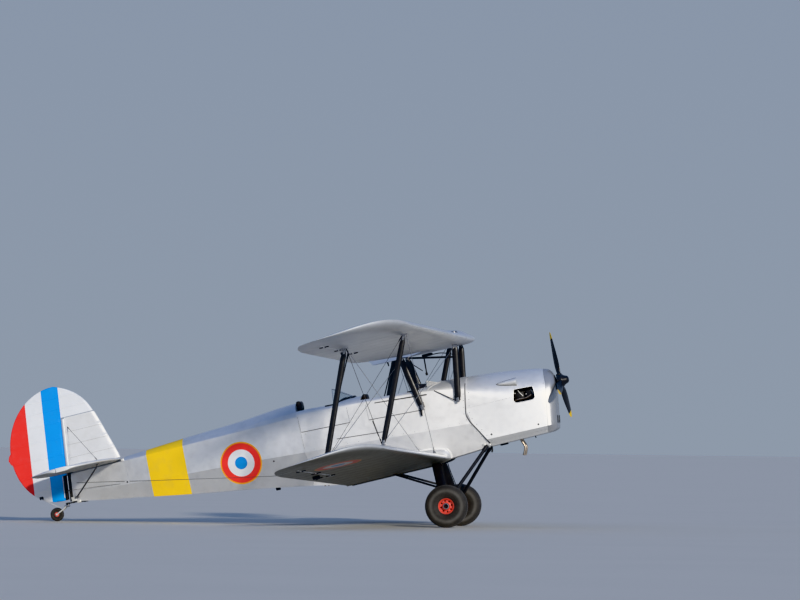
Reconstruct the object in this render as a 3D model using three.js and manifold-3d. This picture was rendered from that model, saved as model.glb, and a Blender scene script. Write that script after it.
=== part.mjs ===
// A two-seat open-cockpit training biplane, standing on its wheels and tailwheel.
// Millimetres, +X to the nose, +Y to the left wing, +Z up, origin on the ground under the middle of its box.
import * as THREE from "three";
import { mergeVertices } from "three/addons/utils/BufferGeometryUtils.js";
import Module from "manifold-3d";

// Driving dimensions. The airframe is drawn in flying attitude: along from the axle, out to the left, up.
const groundAngle = THREE.MathUtils.degToRad(14.2); // nose up when parked
const gap = 0.4; // between pieces that rest on each other
const swing = 6; // ahead of a hinge line, for the surface that turns there

const halfSpan = 4190;
const chord = 1300;
const wingThickness = 0.115; // share of the chord
const camber = 0.032;
const sweep = Math.tan(THREE.MathUtils.degToRad(7.2));
const dihedral = Math.tan(THREE.MathUtils.degToRad(4));
const tipLength = 850; // of the rounded wing tip
const upperRoot = { along: 693, out: 480, up: 1960 }; // leading edge where the swept panel starts
const lowerRoot = { along: 98, out: 372, up: 590 };
const aileron = { from: 2050, to: 3720, hinge: 0.78, ridge: 42 }; // out from the middle, share of the chord
const strutOut = 2900;
const sparTable = [
  { place: "front", upper: 0.15, lower: 0.15 }, // shares of the chord
  { place: "rear", upper: 0.72, lower: 0.69 },
];

const wheelRadius = 262;
const wheelOut = 900;
const tyreWidth = 190;
const rimRadius = 96;
const tailWheel = { along: -4942, radius: 85, width: 60 }; // along is measured on the ground
const rudderHinge = { along: -4589, up: 1571, rake: 0.123 };
const elevatorHinge = { along: -4522, up: 1530 };
const thrustLine = 1187;
const propellerRadius = 640;

// Library set-up for the cuts and joins
const wasm = await Module();
wasm.setup();

const silver = { color: 0xc9ccd1, roughness: 0.38, metalness: 0.55 };
const fabric = { color: 0xc4c7cc, roughness: 0.45, metalness: 0.35 };
const lightGrey = { color: 0xdfe1e3, roughness: 0.5, metalness: 0.1 };
const black = { color: 0x0c0c0e, roughness: 0.35, metalness: 0.1 };
const rubber = { color: 0x1b1b1c, roughness: 0.85, metalness: 0 };
const red = { color: 0xc0261f, roughness: 0.4, metalness: 0.1 };
const leather = { color: 0x17130f, roughness: 0.6, metalness: 0 };
const castMetal = { color: 0x4a4c50, roughness: 0.6, metalness: 0.7 };
const glass = { color: 0xdde6ea, roughness: 0.08, metalness: 0, transparent: true, opacity: 0.35 };
const steel = { color: 0x9a9da2, roughness: 0.3, metalness: 0.9 };

const plane = new THREE.Group(); // the parked aircraft
const level = new THREE.Group(); // the airframe in flying attitude, origin on the main axle
plane.add(level);
level.rotation.y = -groundAngle;
level.position.z = wheelRadius;

function addMesh(name, shape, finish, group = level) {
  const geometry = shape.isBufferGeometry ? shape : geometryOf(shape);
  const mesh = new THREE.Mesh(geometry, new THREE.MeshStandardMaterial(finish));
  mesh.name = name;
  group.add(mesh);
  return mesh;
}

// A closed geometry as a solid that can be cut and joined
function solidOf(geometry) {
  const bare = geometry.index ? geometry.toNonIndexed() : geometry.clone();
  bare.deleteAttribute("normal");
  bare.deleteAttribute("uv");
  const merged = mergeVertices(bare, 1e-3);
  return new wasm.Manifold(new wasm.Mesh({
    numProp: 3,
    vertProperties: merged.attributes.position.array,
    triVerts: new Uint32Array(merged.index.array),
  }));
}

function geometryOf(solid) {
  const mesh = solid.getMesh();
  const geometry = new THREE.BufferGeometry();
  geometry.setAttribute("position", new THREE.BufferAttribute(new Float32Array(mesh.vertProperties), 3));
  geometry.setIndex(new THREE.BufferAttribute(new Uint32Array(mesh.triVerts), 1));
  geometry.computeVertexNormals();
  return geometry;
}

const point = (along, out, up) => new THREE.Vector3(along, out, up);

// Six times the enclosed volume, whose sign tells which way the faces point
function facesOut(positions, index) {
  const a = new THREE.Vector3();
  const b = new THREE.Vector3();
  const c = new THREE.Vector3();
  let total = 0;
  for (let i = 0; i < index.length; i += 3) {
    a.fromArray(positions, 3 * index[i]);
    b.fromArray(positions, 3 * index[i + 1]);
    c.fromArray(positions, 3 * index[i + 2]);
    total += a.dot(b.cross(c));
  }
  return total > 0;
}

// A skin over rings of equal point counts, closed at both ends from each ring's middle
function loft(rings) {
  const count = rings[0].length;
  const vertices = rings.flat();
  const index = [];
  for (let r = 0; r + 1 < rings.length; r++)
    for (let k = 0; k < count; k++) {
      const next = (k + 1) % count;
      const [a, b, c, d] = [r * count + k, r * count + next, (r + 1) * count + k, (r + 1) * count + next];
      index.push(a, b, d, a, d, c);
    }
  for (const [ring, turn] of [[0, 1], [rings.length - 1, 0]]) {
    const middle = vertices.length;
    const sum = rings[ring].reduce((total, p) => total.add(p), new THREE.Vector3());
    vertices.push(sum.divideScalar(count));
    for (let k = 0; k < count; k++) {
      const pair = [ring * count + k, ring * count + ((k + 1) % count)];
      index.push(middle, pair[turn], pair[1 - turn]);
    }
  }
  const positions = vertices.flatMap((p) => p.toArray());
  if (!facesOut(positions, index))
    for (let i = 0; i < index.length; i += 3) [index[i + 1], index[i + 2]] = [index[i + 2], index[i + 1]];
  const geometry = new THREE.BufferGeometry();
  geometry.setAttribute("position", new THREE.Float32BufferAttribute(positions, 3));
  geometry.setIndex(index);
  return geometry;
}

function box([along0, along1], [out0, out1], [up0, up1]) {
  return new THREE.BoxGeometry(along1 - along0, out1 - out0, up1 - up0).translate(
    (along0 + along1) / 2, (out0 + out1) / 2, (up0 + up1) / 2);
}

// A straight round rod, or a taper when the second radius differs
function rod(from, to, radius, sides = 10, endRadius = radius) {
  const way = to.clone().sub(from);
  const turn = new THREE.Quaternion().setFromUnitVectors(point(0, 1, 0), way.clone().normalize());
  return new THREE.CylinderGeometry(endRadius, radius, way.length(), sides)
    .applyQuaternion(turn)
    .translate((from.x + to.x) / 2, (from.y + to.y) / 2, (from.z + to.z) / 2);
}

// A streamlined strut between two heights, wide along the flight and thin across it
function strut(from, to, width, thickness, sides = 10) {
  const ring = (at) =>
    Array.from({ length: sides }, (_, k) => {
      const turn = (2 * Math.PI * k) / sides;
      return point(at.x + (width / 2) * Math.cos(turn), at.y + (thickness / 2) * Math.sin(turn), at.z);
    });
  return loft([ring(from), ring(to)]);
}

// An outline in the plane of symmetry, given as along and up, made into a slab of a width
function sideSlab(shape, width, steps = 12) {
  return new THREE.ExtrudeGeometry(shape, { depth: width, bevelEnabled: false, curveSegments: steps })
    .rotateX(Math.PI / 2)
    .translate(0, width / 2, 0);
}

const joined = (...shapes) => shapes.map(asSolid).reduce((whole, next) => whole.add(next));
const cut = (shape, ...cutters) =>
  cutters.map(asSolid).reduce((left, next) => left.subtract(next), asSolid(shape));
const common = (shape, other) => asSolid(shape).intersect(asSolid(other));
const asSolid = (shape) => (shape.isBufferGeometry ? solidOf(shape) : shape);
const mirrored = (shape) => asSolid(shape).mirror([0, 1, 0]);

// Fuselage

// Sections of the fuselage and cowl, along from the axle. Crease is the widest line on the side.
const sectionNames = ["along", "top", "shoulder", "crease", "bottom", "half", "bottomHalf"];
const fuselageTable = [
  [-4600, 1496, 1490, 1300, 1153, 30, 22],
  [-4100, 1496, 1490, 1220, 1060, 95, 70],
  [-3848, 1497, 1490, 1196, 1019, 124, 92],
  [-3846, 1538, 1490, 1196, 1019, 124, 92],
  [-3100, 1588, 1495, 1146, 889, 222, 165],
  [-2380, 1625, 1500, 1110, 776, 300, 225],
  [-1600, 1683, 1505, 1058, 636, 362, 270],
];
const cockpitTable = [
  [-1600, 1683, 1505, 1058, 636, 362, 270],
  [-1216, 1630, 1498, 1035, 568, 374, 280],
  [-900, 1592, 1488, 1012, 563, 376, 284],
  [-560, 1556, 1466, 990, 563, 376, 288],
  [60, 1534, 1420, 950, 568, 370, 290],
  [660, 1505, 1300, 915, 600, 352, 290],
];
const cowlTable = [
  [440, 1513, 1330, 925, 598, 357, 290],
  [943, 1466, 1230, 890, 598, 343, 284],
  [1374, 1405, 1150, 865, 600, 322, 268],
];
const bowlTable = [
  [1374, 1405, 1150, 865, 600, 322, 268],
  [1494, 1374, 1130, 860, 603, 300, 252],
  [1560, 1328, 1110, 860, 616, 262, 226],
  [1588, 1262, 1090, 860, 640, 214, 190],
];
const faceRake = 0.165; // the nose's front face leans back below the thrust line
const deckSteps = 10;

function bodyRing(row, inset = 0) {
  const s = Object.fromEntries(sectionNames.map((name, i) => [name, row[i]]));
  const lean = s.along > 1380 ? faceRake * Math.min(1, (s.along - 1374) / 120) : 0;
  const at = (out, up) => point(s.along - lean * Math.max(0, thrustLine - up), out, up);
  const half = Math.max(s.half - inset, 4);
  const low = Math.max(s.bottomHalf - inset, 3);
  const ring = [at(-low, s.bottom + inset), at(low, s.bottom + inset), at(half, s.crease)];
  for (let k = 0; k <= deckSteps; k++) {
    const turn = (Math.PI * k) / deckSteps;
    ring.push(at(half * Math.cos(turn), s.shoulder + (s.top - inset - s.shoulder) * Math.sin(turn)));
  }
  ring.push(at(-half, s.crease));
  return ring;
}

const bodyLoft = (table, inset = 0) => loft(table.map((row) => bodyRing(row, inset)));

const wallThickness = 26;
const cockpits = {
  front: { back: -792, corner: -100, front: 40, sill: 1464 }, // sill is its height at the corner
  rear: { back: -1700, corner: -1130, front: -985, sill: 1530 },
};
const sillSlope = 0.089; // the sills fall towards the nose
const openHalf = 338; // half the width of a cockpit opening
const far = 3000; // past everything on a cut's open side

// The joint between fuselage and cowl, as seen from the side, as a slab of everything ahead of it
function aheadOfJoint(offset) {
  const line = [[536, 1700], [536, 1490], [470, 1165], [448, 1040], [476, 949], [565, 795], [680, 580],
    [680, 400]];
  const shape = new THREE.Shape();
  shape.moveTo(far, 1700);
  for (const [along, up] of line) shape.lineTo(along + offset, up);
  shape.lineTo(far, 400);
  return sideSlab(shape, 1200);
}

function rearFuselage() {
  const backEdge = (up) => rudderHinge.along + 48 - rudderHinge.rake * (rudderHinge.up - up);
  const side = new THREE.Shape();
  side.moveTo(backEdge(1000), 1000);
  side.lineTo(backEdge(1700), 1700);
  side.lineTo(-1600 - gap, 1700);
  side.lineTo(-1600 - gap, 500);
  addMesh("rear_fuselage", common(bodyLoft(fuselageTable), sideSlab(side, 1000)), fabric);
}

// A cockpit's opening from above: square at the back, a half ellipse at the front, cut down to its sill
function cockpitHole({ back, corner, front, sill }) {
  const plan = new THREE.Shape();
  plan.moveTo(back - corner, -openHalf);
  plan.lineTo(0, -openHalf);
  plan.absellipse(0, 0, front - corner, openHalf, -Math.PI / 2, Math.PI / 2, false, 0);
  plan.lineTo(back - corner, openHalf);
  return new THREE.ExtrudeGeometry(plan, { depth: 600, bevelEnabled: false, curveSegments: 7 })
    .rotateY(sillSlope).translate(corner, 0, sill);
}

// The cockpit section: a closed tub whose sides, floor and decks meet at the door line and the floor line
function cockpitSection() {
  const doorLine = 1440;
  const floorLine = 650;
  const outer = cut(bodyLoft(cockpitTable), aheadOfJoint(0));
  const hollow = common(bodyLoft(cockpitTable, wallThickness), box([-1700, 415], [-far, far], [0, far]));
  const holes = Object.values(cockpits).map(cockpitHole);
  const shell = cut(outer, cut(hollow, aheadOfJoint(-60)), ...holes);
  const walls = common(shell, box([-far, far], [-far, far], [floorLine + gap, doorLine - gap]));
  addMesh("cockpit_side_left", common(walls, box([-far, far], [gap, far], [0, far])), silver);
  addMesh("cockpit_side_right", common(walls, box([-far, far], [-far, -gap], [0, far])), silver);
  addMesh("cockpit_floor", common(shell, box([-far, far], [-far, far], [0, floorLine])), silver);
  addMesh("cockpit_decks", common(shell, box([-far, far], [-far, far], [doorLine, far])), silver);
}

// Seats and panels: along of the seat's back and of the panel
const crewTable = [
  { place: "front", seat: -700, floor: 740, panel: 100 },
  { place: "rear", seat: -1500, floor: 790, panel: -930 },
];
// Windshields of three panes: where the back and the front are, and the half section there, out and up
const shieldTable = [
  { place: "front", back: 50, high: [[360, 1440], [200, 1566]],
    front: 201, low: [[190, 1495], [180, 1507]] },
  { place: "rear", back: -1120, high: [[346, 1548], [140, 1746]],
    front: -885, low: [[160, 1580], [145, 1592]] },
];
const paneThickness = 7;

// The space under a windshield, smaller by an inset and open towards the back
function shieldSpace({ back, high, front, low }, inset) {
  const ring = (along, half) => {
    const right = half.map(([out, up]) => point(along - 2 * inset, -out + inset, up - inset));
    const whole = [point(along - 2 * inset, right[0].y, 1350), ...right];
    return [...whole, ...whole.map((p) => point(p.x, -p.y, p.z)).reverse()];
  };
  return loft([ring(back, high), ring(front, low)]);
}

function crewPlaces() {
  for (const { place, seat, floor, panel } of crewTable) {
    const cushion = box([seat, seat + 400], [-215, 215], [floor, floor + 90]);
    const back = box([seat, seat + 60], [-215, 215], [floor, floor + 560]);
    addMesh(`seat_${place}`, joined(cushion, back), leather);
    addMesh(`instrument_panel_${place}`, box([panel - 20, panel], [-270, 270], [1180, 1436]), black);
  }
  for (const shield of shieldTable) {
    const panes = cut(shieldSpace(shield, 0), shieldSpace(shield, paneThickness),
      bodyLoft(cockpitTable, -gap));
    addMesh(`windshield_${shield.place}`, panes, glass);
  }
  const padRadius = 42;
  for (const [place, edge, up] of [["front", cockpits.front.back + 11, 1545], ["rear", -1600, 1632]]) {
    const along = edge + padRadius + gap;
    addMesh(`headrest_${place}`, rod(point(along, -150, up), point(along, 150, up), padRadius, 12), leather);
  }
}

// Cowl, in panels that meet on level lines, and the nose bowl
const cowlWall = 12;
const cowlLines = { top: 1120, bottom: 640 };
const vent = { along: [1050, 1325], up: [1036, 1205] };
const bowlJoint = 1374;

function cowl() {
  const allWays = [-far, far];
  const behindBowl = box([0, bowlJoint - gap], allWays, [0, far]);
  const outer = common(common(bodyLoft(cowlTable), aheadOfJoint(gap)), behindBowl);
  const inside = common(bodyLoft(cowlTable, cowlWall), box([0, bowlJoint + 50], allWays, [0, far]));
  const shell = cut(outer, inside,
    box([430, 470], allWays, [0, far]));
  const open = cut(shell, box(vent.along, [-far, 0], vent.up), box(vent.along, [0, far], vent.up));
  const band = (low, high) => box(allWays, allWays, [low, high]);
  const sides = common(open, band(cowlLines.bottom + gap, cowlLines.top - gap));
  addMesh("cowl_top", common(open, band(cowlLines.top, far)), silver);
  addMesh("cowl_side_left", common(sides, box(allWays, [0, far], [0, far])), silver);
  addMesh("cowl_side_right", common(sides, box(allWays, [-far, 0], [0, far])), silver);
  addMesh("cowl_bottom", common(open, band(0, cowlLines.bottom)), silver);
  const bowlOuter = common(bodyLoft(bowlTable), box([0, far], allWays, [0, far]));
  const inner = bodyLoft(bowlTable.slice(0, 3), cowlWall).translate(-18, 0, 0);
  const shaftHole = rod(point(1300, 0, thrustLine), point(1700, 0, thrustLine), 48, 16);
  const bowl = cut(bowlOuter, inner, shaftHole, ...intakes());
  addMesh("nose_bowl", bowl, silver);
  addMesh("engine_block", box([700, 1340], [-225, 225], [720, 1285]), castMetal);
}

// Two round cooling inlets low in the bowl's front face
function intakes() {
  return [-130, 130].map((out) => rod(point(1440, out, 880), point(1640, out, 880), 42, 14));
}

// Propeller: a round hub on a shaft and three blades. Turn is from straight up, towards the right wing.
const bladeTurns = [-15, 105, 225];
const bladeTable = [
  { reach: 62, width: 62, thick: 36, pitch: 42 },
  { reach: 160, width: 74, thick: 26, pitch: 36 },
  { reach: 300, width: 92, thick: 18, pitch: 27 },
  { reach: 460, width: 84, thick: 13, pitch: 20 },
  { reach: 590, width: 62, thick: 9, pitch: 16 },
  { reach: propellerRadius, width: 30, thick: 6, pitch: 15 },
];
const hub = { back: 1606, middle: 1642, front: 1752, radius: 78 };

function propeller() {
  const profile = [[0, hub.back], [64, hub.back], [hub.radius, hub.back + 14], [hub.radius, 1676],
    [66, 1704], [44, 1734], [0, hub.front]].map(([radius, along]) => new THREE.Vector2(radius, along));
  const cap = new THREE.LatheGeometry(profile, 18).rotateZ(-Math.PI / 2).translate(0, 0, thrustLine);
  const shaft = rod(point(1350, 0, thrustLine), point(hub.back + 20, 0, thrustLine), 26, 12);
  addMesh("propeller_hub", joined(cap, shaft), black);
  bladeTurns.forEach((turn, i) => {
    const blade = loft(bladeTable.map(({ reach, width, thick, pitch }) => {
      const lean = THREE.MathUtils.degToRad(pitch);
      return Array.from({ length: 10 }, (_, k) => {
        const [x, y] = [Math.cos((k * Math.PI) / 5) * thick / 2, Math.sin((k * Math.PI) / 5) * width / 2];
        const [c, s] = [Math.cos(lean), Math.sin(lean)];
        return point(x * c - y * s, x * s + y * c, reach + 18);
      });
    }));
    blade.scale(1, 1, propellerRadius / (propellerRadius + 18));
    blade.rotateX(THREE.MathUtils.degToRad(turn)).translate(hub.middle, 0, thrustLine);
    const core = rod(point(1500, 0, thrustLine), point(1800, 0, thrustLine), hub.radius + gap, 18);
    addMesh(`propeller_blade_${i + 1}`, cut(blade, core), black);
  });
}

// Wings. A place on a wing is how far out, the share of the chord from the nose, and the height above it.
const incidence = Math.tan(THREE.MathUtils.degToRad(2));
const cutOut = { chord: 643, out: 1200 }; // the rounded bay in the trailing edge of the upper wing's middle

function tipShare(out) {
  const s = Math.max(0, (out - (halfSpan - tipLength)) / tipLength);
  return Math.sqrt(Math.max(0, 1 - s ** 2.6));
}

function wingPlace(root, out, share, height) {
  const reach = Math.max(0, out - root.out);
  return point(
    root.along - sweep * reach - share * chord,
    -out,
    root.up + dihedral * reach - share * chord * incidence + height);
}

function meanHeight(share) {
  const peak = 0.4;
  const line = share < peak
    ? (2 * peak * share - share ** 2) / peak ** 2
    : (1 - 2 * peak + 2 * peak * share - share ** 2) / (1 - peak) ** 2;
  return camber * chord * line;
}

function halfThickness(share) {
  const t = 0.2969 * Math.sqrt(share) - 0.126 * share - 0.3516 * share ** 2 + 0.2843 * share ** 3
    - 0.1036 * share ** 4;
  return 5 * wingThickness * chord * t + 2.5 * share;
}

const foilSteps = 8;

// One section, at right angles to the span, its nose moved back and its tail cut short by the tip's curve
function wingRing(root, out, bay, skin = 0) {
  const f = Math.max(tipShare(out), 0.06);
  const bayShare = bay && out < cutOut.out
    ? 1 - (1 - cutOut.chord / chord) * (0.5 + 0.5 * Math.cos((Math.PI * out) / cutOut.out)) : 1;
  const nose = 0.8 * (1 - f);
  const ring = [];
  for (let k = 0; k < 2 * foilSteps; k++) {
    const top = k < foilSteps;
    const step = top ? k : k + 1;
    const own = 0.5 + 0.5 * Math.cos((Math.PI * step) / foilSteps);
    const thick = halfThickness(Math.max(own, 0)) * Math.sqrt(f) + skin;
    const height = meanHeight(own) * f + (step === foilSteps ? 0 : top ? thick : -thick);
    ring.push(wingPlace(root, out, (nose + own * f) * bayShare, height));
  }
  return ring;
}

const tipSteps = [0, 0.3, 0.55, 0.75, 0.88, 0.96, 0.995];
const stations = (from) => [from, ...tipSteps.map((s) => halfSpan - tipLength * (1 - s))];

function wingShape(root, outs, bay = false, skin = 0) {
  return loft(outs.map((out) => wingRing(root, out, bay, skin)));
}

// The space that an aileron takes. Its front is a ridge on the hinge line, or upright where the ridge is 0.
function aileronSpace(root, ahead, ridge, beside) {
  const high = 90; // clear of both skins
  const wedge = (out) => {
    const hinge = wingPlace(root, out, aileron.hinge, meanHeight(aileron.hinge));
    return [[ahead, 0], [ahead - ridge, high], [-far, high], [-far, -high], [ahead - ridge, -high]]
      .map(([along, up]) => point(hinge.x + along, hinge.y, hinge.z + up));
  };
  return loft([wedge(aileron.from - beside), wedge(aileron.to + beside)]);
}

function wings() {
  const bayOuts = [0.5, 0.75, 1].map((s) => cutOut.out * s);
  const centreOuts = [-1, -0.5, 0, 0.5, 1].map((s) => s * upperRoot.out);
  const centre = loft(centreOuts.map((out) => {
    const ring = wingRing(upperRoot, Math.abs(out), true);
    return out < 0 ? ring.map((p) => point(p.x, -p.y, p.z)) : ring;
  }));
  addMesh("upper_wing_centre", centre, fabric);
  for (const [place, root, outs, bay] of [
    ["upper", upperRoot, [upperRoot.out + gap, ...bayOuts, ...stations(aileron.from - 100)], true],
    ["lower", lowerRoot, stations(290), false],
  ]) {
    const whole = asSolid(wingShape(root, outs, bay));
    let fixed = cut(whole, aileronSpace(root, swing, 0, 8));
    if (place === "lower") fixed = cut(fixed, bodyLoft(cockpitTable, -gap));
    const flap = common(whole, aileronSpace(root, 0, aileron.ridge, 0));
    addMesh(`${place}_wing_right`, fixed, fabric);
    addMesh(`${place}_wing_left`, mirrored(fixed), fabric);
    addMesh(`${place}_aileron_right`, flap, fabric);
    addMesh(`${place}_aileron_left`, mirrored(flap), fabric);
  }
}

// Struts between the wings, cut to the skins of the wings that they meet
function wingStruts() {
  const upperSkin = wingShape(upperRoot, stations(upperRoot.out), false, gap);
  const lowerSkin = wingShape(lowerRoot, stations(290), false, gap);
  for (const { place, upper, lower } of sparTable) {
    const top = wingPlace(upperRoot, strutOut, upper, 0);
    const foot = wingPlace(lowerRoot, strutOut, lower, 0);
    const bar = cut(strut(foot, top, 74, 32), upperSkin, lowerSkin);
    const piece = bar.decompose().sort((a, b) => b.volume() - a.volume())[0];
    addMesh(`wing_strut_${place}_right`, piece, black);
    addMesh(`wing_strut_${place}_left`, mirrored(piece), black);
  }
}

// Struts from the fuselage sides to the upper wing's middle, each with a foot on the side
const cabaneTable = [
  { place: "front", top: 515, foot: 392, low: 1224 },
  { place: "rear", top: -177, foot: -58, low: 1240 },
];

function cabaneStruts() {
  const wing = wingShape(upperRoot, [0, 300, upperRoot.out, 700], true, gap);
  const body = bodyLoft(cockpitTable, -gap);
  for (const { place, top, foot, low } of cabaneTable) {
    const bar = strut(point(foot, -402, low), point(top, -402, 1960), 78, 32);
    const pad = box([foot - 32, foot + 32], [-412, -340], [low + 8, low + 80]);
    const whole = cut(joined(bar, pad), wing, body).decompose();
    const piece = whole.sort((a, b) => b.volume() - a.volume())[0];
    addMesh(`cabane_strut_${place}_right`, piece, black);
    addMesh(`cabane_strut_${place}_left`, mirrored(piece), black);
  }
}

// Main gear: a broad leg, a raked front tube, a rear brace and the axle, all meeting above the wheel
function mainGear() {
  const axleInner = -742;
  const leg = strut(point(-20, axleInner, -24), point(-56, -330, 560), 118, 44);
  const front = rod(point(600, -290, 612), point(-10, axleInner, 30), 23);
  const rear = rod(point(-700, -285, 600), point(-50, -585, 238), 14);
  const axle = rod(point(0, axleInner + 30, 0), point(0, -wheelOut - 40, 0), 21, 12);
  const body = bodyLoft(cockpitTable, -gap);
  const wing = wingShape(lowerRoot, stations(290), false, gap);
  const nose = bodyLoft(cowlTable, -gap);
  const whole = cut(joined(leg, front, rear, axle), body, wing, nose);
  const piece = whole.decompose().sort((a, b) => b.volume() - a.volume())[0];
  addMesh("gear_right", piece, black);
  addMesh("gear_left", mirrored(piece), black);
}

const wheelSides = 32;

// A wheel about the Y axis whose lowest facet is flat on the ground
function turnedWheel(profile, radius, sides) {
  const ring = 1 / Math.cos(Math.PI / sides);
  const points = profile.map(([r, out]) => new THREE.Vector2(r * ring, out));
  return new THREE.LatheGeometry(points, sides).rotateY(Math.PI / 2 + Math.PI / sides);
}

function mainWheels() {
  const w = tyreWidth / 2;
  const tyre = [[rimRadius + 2, -62], [150, -w + 6], [195, -w], [236, -w + 18], [wheelRadius, -30],
    [wheelRadius, 30], [236, w - 18], [195, w], [150, w - 6], [rimRadius + 2, 62], [rimRadius + 2, -62]];
  const rim = [[25, -66], [44, -66], [52, -34], [rimRadius - 8, -34], [rimRadius, -60], [rimRadius, 60],
    [rimRadius - 8, 34], [52, 34], [44, 66], [25, 66], [25, -66]];
  for (const [side, out] of [["right", -wheelOut], ["left", wheelOut]]) {
    const turned = [addMesh(`tyre_${side}`, turnedWheel(tyre, wheelRadius, wheelSides), rubber, plane),
      addMesh(`wheel_rim_${side}`, turnedWheel(rim, rimRadius, 24), red, plane)];
    for (const piece of turned) piece.position.set(0, out, wheelRadius);
  }
}

// Tail surfaces
const halfFin = 24;

const hingeAlong = (up) => rudderHinge.along - rudderHinge.rake * (rudderHinge.up - up);

function fin() {
  const shape = new THREE.Shape();
  const low = 1566;
  shape.moveTo(-3895, low);
  shape.quadraticCurveTo(-3975, 1830, -4041, 2053);
  shape.quadraticCurveTo(-4060, 2150, -4120, 2176);
  shape.lineTo(hingeAlong(2188) + swing + 30, 2188);
  shape.lineTo(hingeAlong(low) + swing + 30, low);
  addMesh("fin", sideSlab(shape, 2 * halfFin, 4), lightGrey);
}

function rudderOutline() {
  const shape = new THREE.Shape();
  const top = 2597;
  const neck = 2196;
  const foot = 1186;
  shape.moveTo(hingeAlong(foot) - 6, foot);
  shape.lineTo(hingeAlong(neck - 1) - 6, neck);
  shape.lineTo(-4097, neck);
  shape.quadraticCurveTo(-4200, 2500, -4530, top);
  shape.absellipse(-4530, 1800, 708, top - 1800, Math.PI / 2, Math.PI, false, 0);
  shape.absellipse(-4740, 1800, 498, 1800 - foot, Math.PI, 1.5 * Math.PI, false, 0);
  return shape;
}

function rudder() {
  addMesh("rudder", sideSlab(rudderOutline(), 44, 10), lightGrey);
}

const tail = { half: 1360, thick: 54, rootNose: -3890, back: -4940 };

function tailOutline(side) {
  const shape = new THREE.Shape();
  shape.moveTo(tail.rootNose, 0);
  shape.lineTo(-3935, side * 560);
  shape.quadraticCurveTo(-4020, side * tail.half * 0.93, -4330, side * tail.half);
  shape.lineTo(-4540, side * tail.half);
  shape.quadraticCurveTo(-4830, side * tail.half * 0.97, -4910, side * 850);
  shape.lineTo(tail.back, side * 275);
  shape.lineTo(elevatorHinge.along, side * 70);
  shape.lineTo(elevatorHinge.along, 0);
  return shape;
}

function tailplane() {
  const flat = (side) =>
    new THREE.ExtrudeGeometry(tailOutline(side),
      { depth: tail.thick, bevelEnabled: false, curveSegments: 8 })
      .translate(0, 0, elevatorHinge.up - tail.thick / 2);
  const whole = joined(flat(1), flat(-1));
  const behindHinge = (ahead, ridge) => {
    const shape = new THREE.Shape();
    shape.moveTo(elevatorHinge.along + ahead, elevatorHinge.up);
    for (const [along, up] of [[ahead - ridge, 90], [-900, 90], [-900, -90], [ahead - ridge, -90]])
      shape.lineTo(elevatorHinge.along + along, elevatorHinge.up + up);
    return sideSlab(shape, far);
  };
  const tubeSpace = box([-4700, -4480], [-80, 80], [1400, 1700]);
  addMesh("tailplane", cut(whole, behindHinge(swing, 0), tubeSpace), lightGrey);
  const tubeEnd = (out) => point(elevatorHinge.along - 16, out, elevatorHinge.up);
  const tube = rod(tubeEnd(-120), tubeEnd(120), 12);
  addMesh("elevator", joined(common(whole, behindHinge(0, 50)), tube), lightGrey);
}

function tailStruts() {
  const tube = rod(point(-4540, -60, 1190), point(-4070, -870, 1486), 13, 8);
  const bar = cut(tube, bodyLoft(fuselageTable, -gap));
  const piece = bar.decompose().sort((a, b) => b.volume() - a.volume())[0];
  addMesh("tail_strut_right", piece, black);
  addMesh("tail_strut_left", mirrored(piece), black);
}

// Tailwheel: a bracket under the stern, a fork that steers with the rudder, and the wheel
const steerAxis = { along: -4672, up: 1150 };

function tailGear() {
  const bracket = box([steerAxis.along - 28, -4560], [-24, 24], [1132, 1150]);
  const bore = rod(point(steerAxis.along, 0, 1100), point(steerAxis.along, 0, 1200), 12, 16);
  addMesh("tailwheel_bracket", cut(bracket, bodyLoft(fuselageTable, -gap), bore), black);
  const toLevel = (along, out, up) => {
    const [c, s] = [Math.cos(groundAngle), Math.sin(groundAngle)];
    return point(along * c + (up - wheelRadius) * s, out, -along * s + (up - wheelRadius) * c);
  };
  const axle = toLevel(tailWheel.along, 0, tailWheel.radius);
  const arms = [-44, 44].map((out) =>
    rod(point(axle.x, out, axle.z), point(steerAxis.along - 34, out, 1112), 9, 8));
  const crown = box([steerAxis.along - 48, steerAxis.along + 16], [-52, 52], [1100, 1126]);
  const pin = rod(point(axle.x, -52, axle.z), point(axle.x, 52, axle.z), 7, 8);
  const stem = rod(point(steerAxis.along, 0, 1110), point(steerAxis.along, 0, 1158), 9, 12);
  addMesh("tailwheel_fork", joined(crown, stem, ...arms, pin), black);
  const r = tailWheel.radius;
  const w = tailWheel.width / 2;
  const wheel = turnedWheel([[8.5, -w], [30, -w], [40, -w + 8], [64, -w + 2], [r, -10], [r, 10], [64, w - 2],
    [40, w - 8], [30, w], [8.5, w], [8.5, -w]], r, 24);
  addMesh("tailwheel", wheel, rubber, plane).position.set(tailWheel.along, 0, r);
}

// Main stays, one streamlined wire to each bay
function stays() {
  const [rear, front, out] = [sparTable[1], sparTable[0], strutOut - 50];
  const flying = rod(point(-205, -446, 722), wingPlace(upperRoot, out, rear.upper, -32), 4, 6);
  const landing = rod(point(500, -436, 1885), wingPlace(lowerRoot, out, front.lower, 112), 4, 6);
  for (const [name, wire] of [["flying_wire", flying], ["landing_wire", landing]]) {
    addMesh(`${name}_right`, wire, steel);
    addMesh(`${name}_left`, mirrored(wire), steel);
  }
}

rearFuselage();
cockpitSection();
crewPlaces();
cowl();
propeller();
wings();
wingStruts();
cabaneStruts();
mainGear();
mainWheels();
fin();
rudder();
tailplane();
tailStruts();
tailGear();
stays();

plane.updateMatrixWorld(true);
const middle = new THREE.Box3().setFromObject(plane, true).getCenter(new THREE.Vector3());
for (const piece of plane.children) piece.position.x -= middle.x;

export default plane;
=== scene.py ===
from math import copysign, cos, exp, pi, radians, sin, sqrt, tan, tau

import bpy
import bmesh
from mathutils import Matrix, Vector


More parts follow.
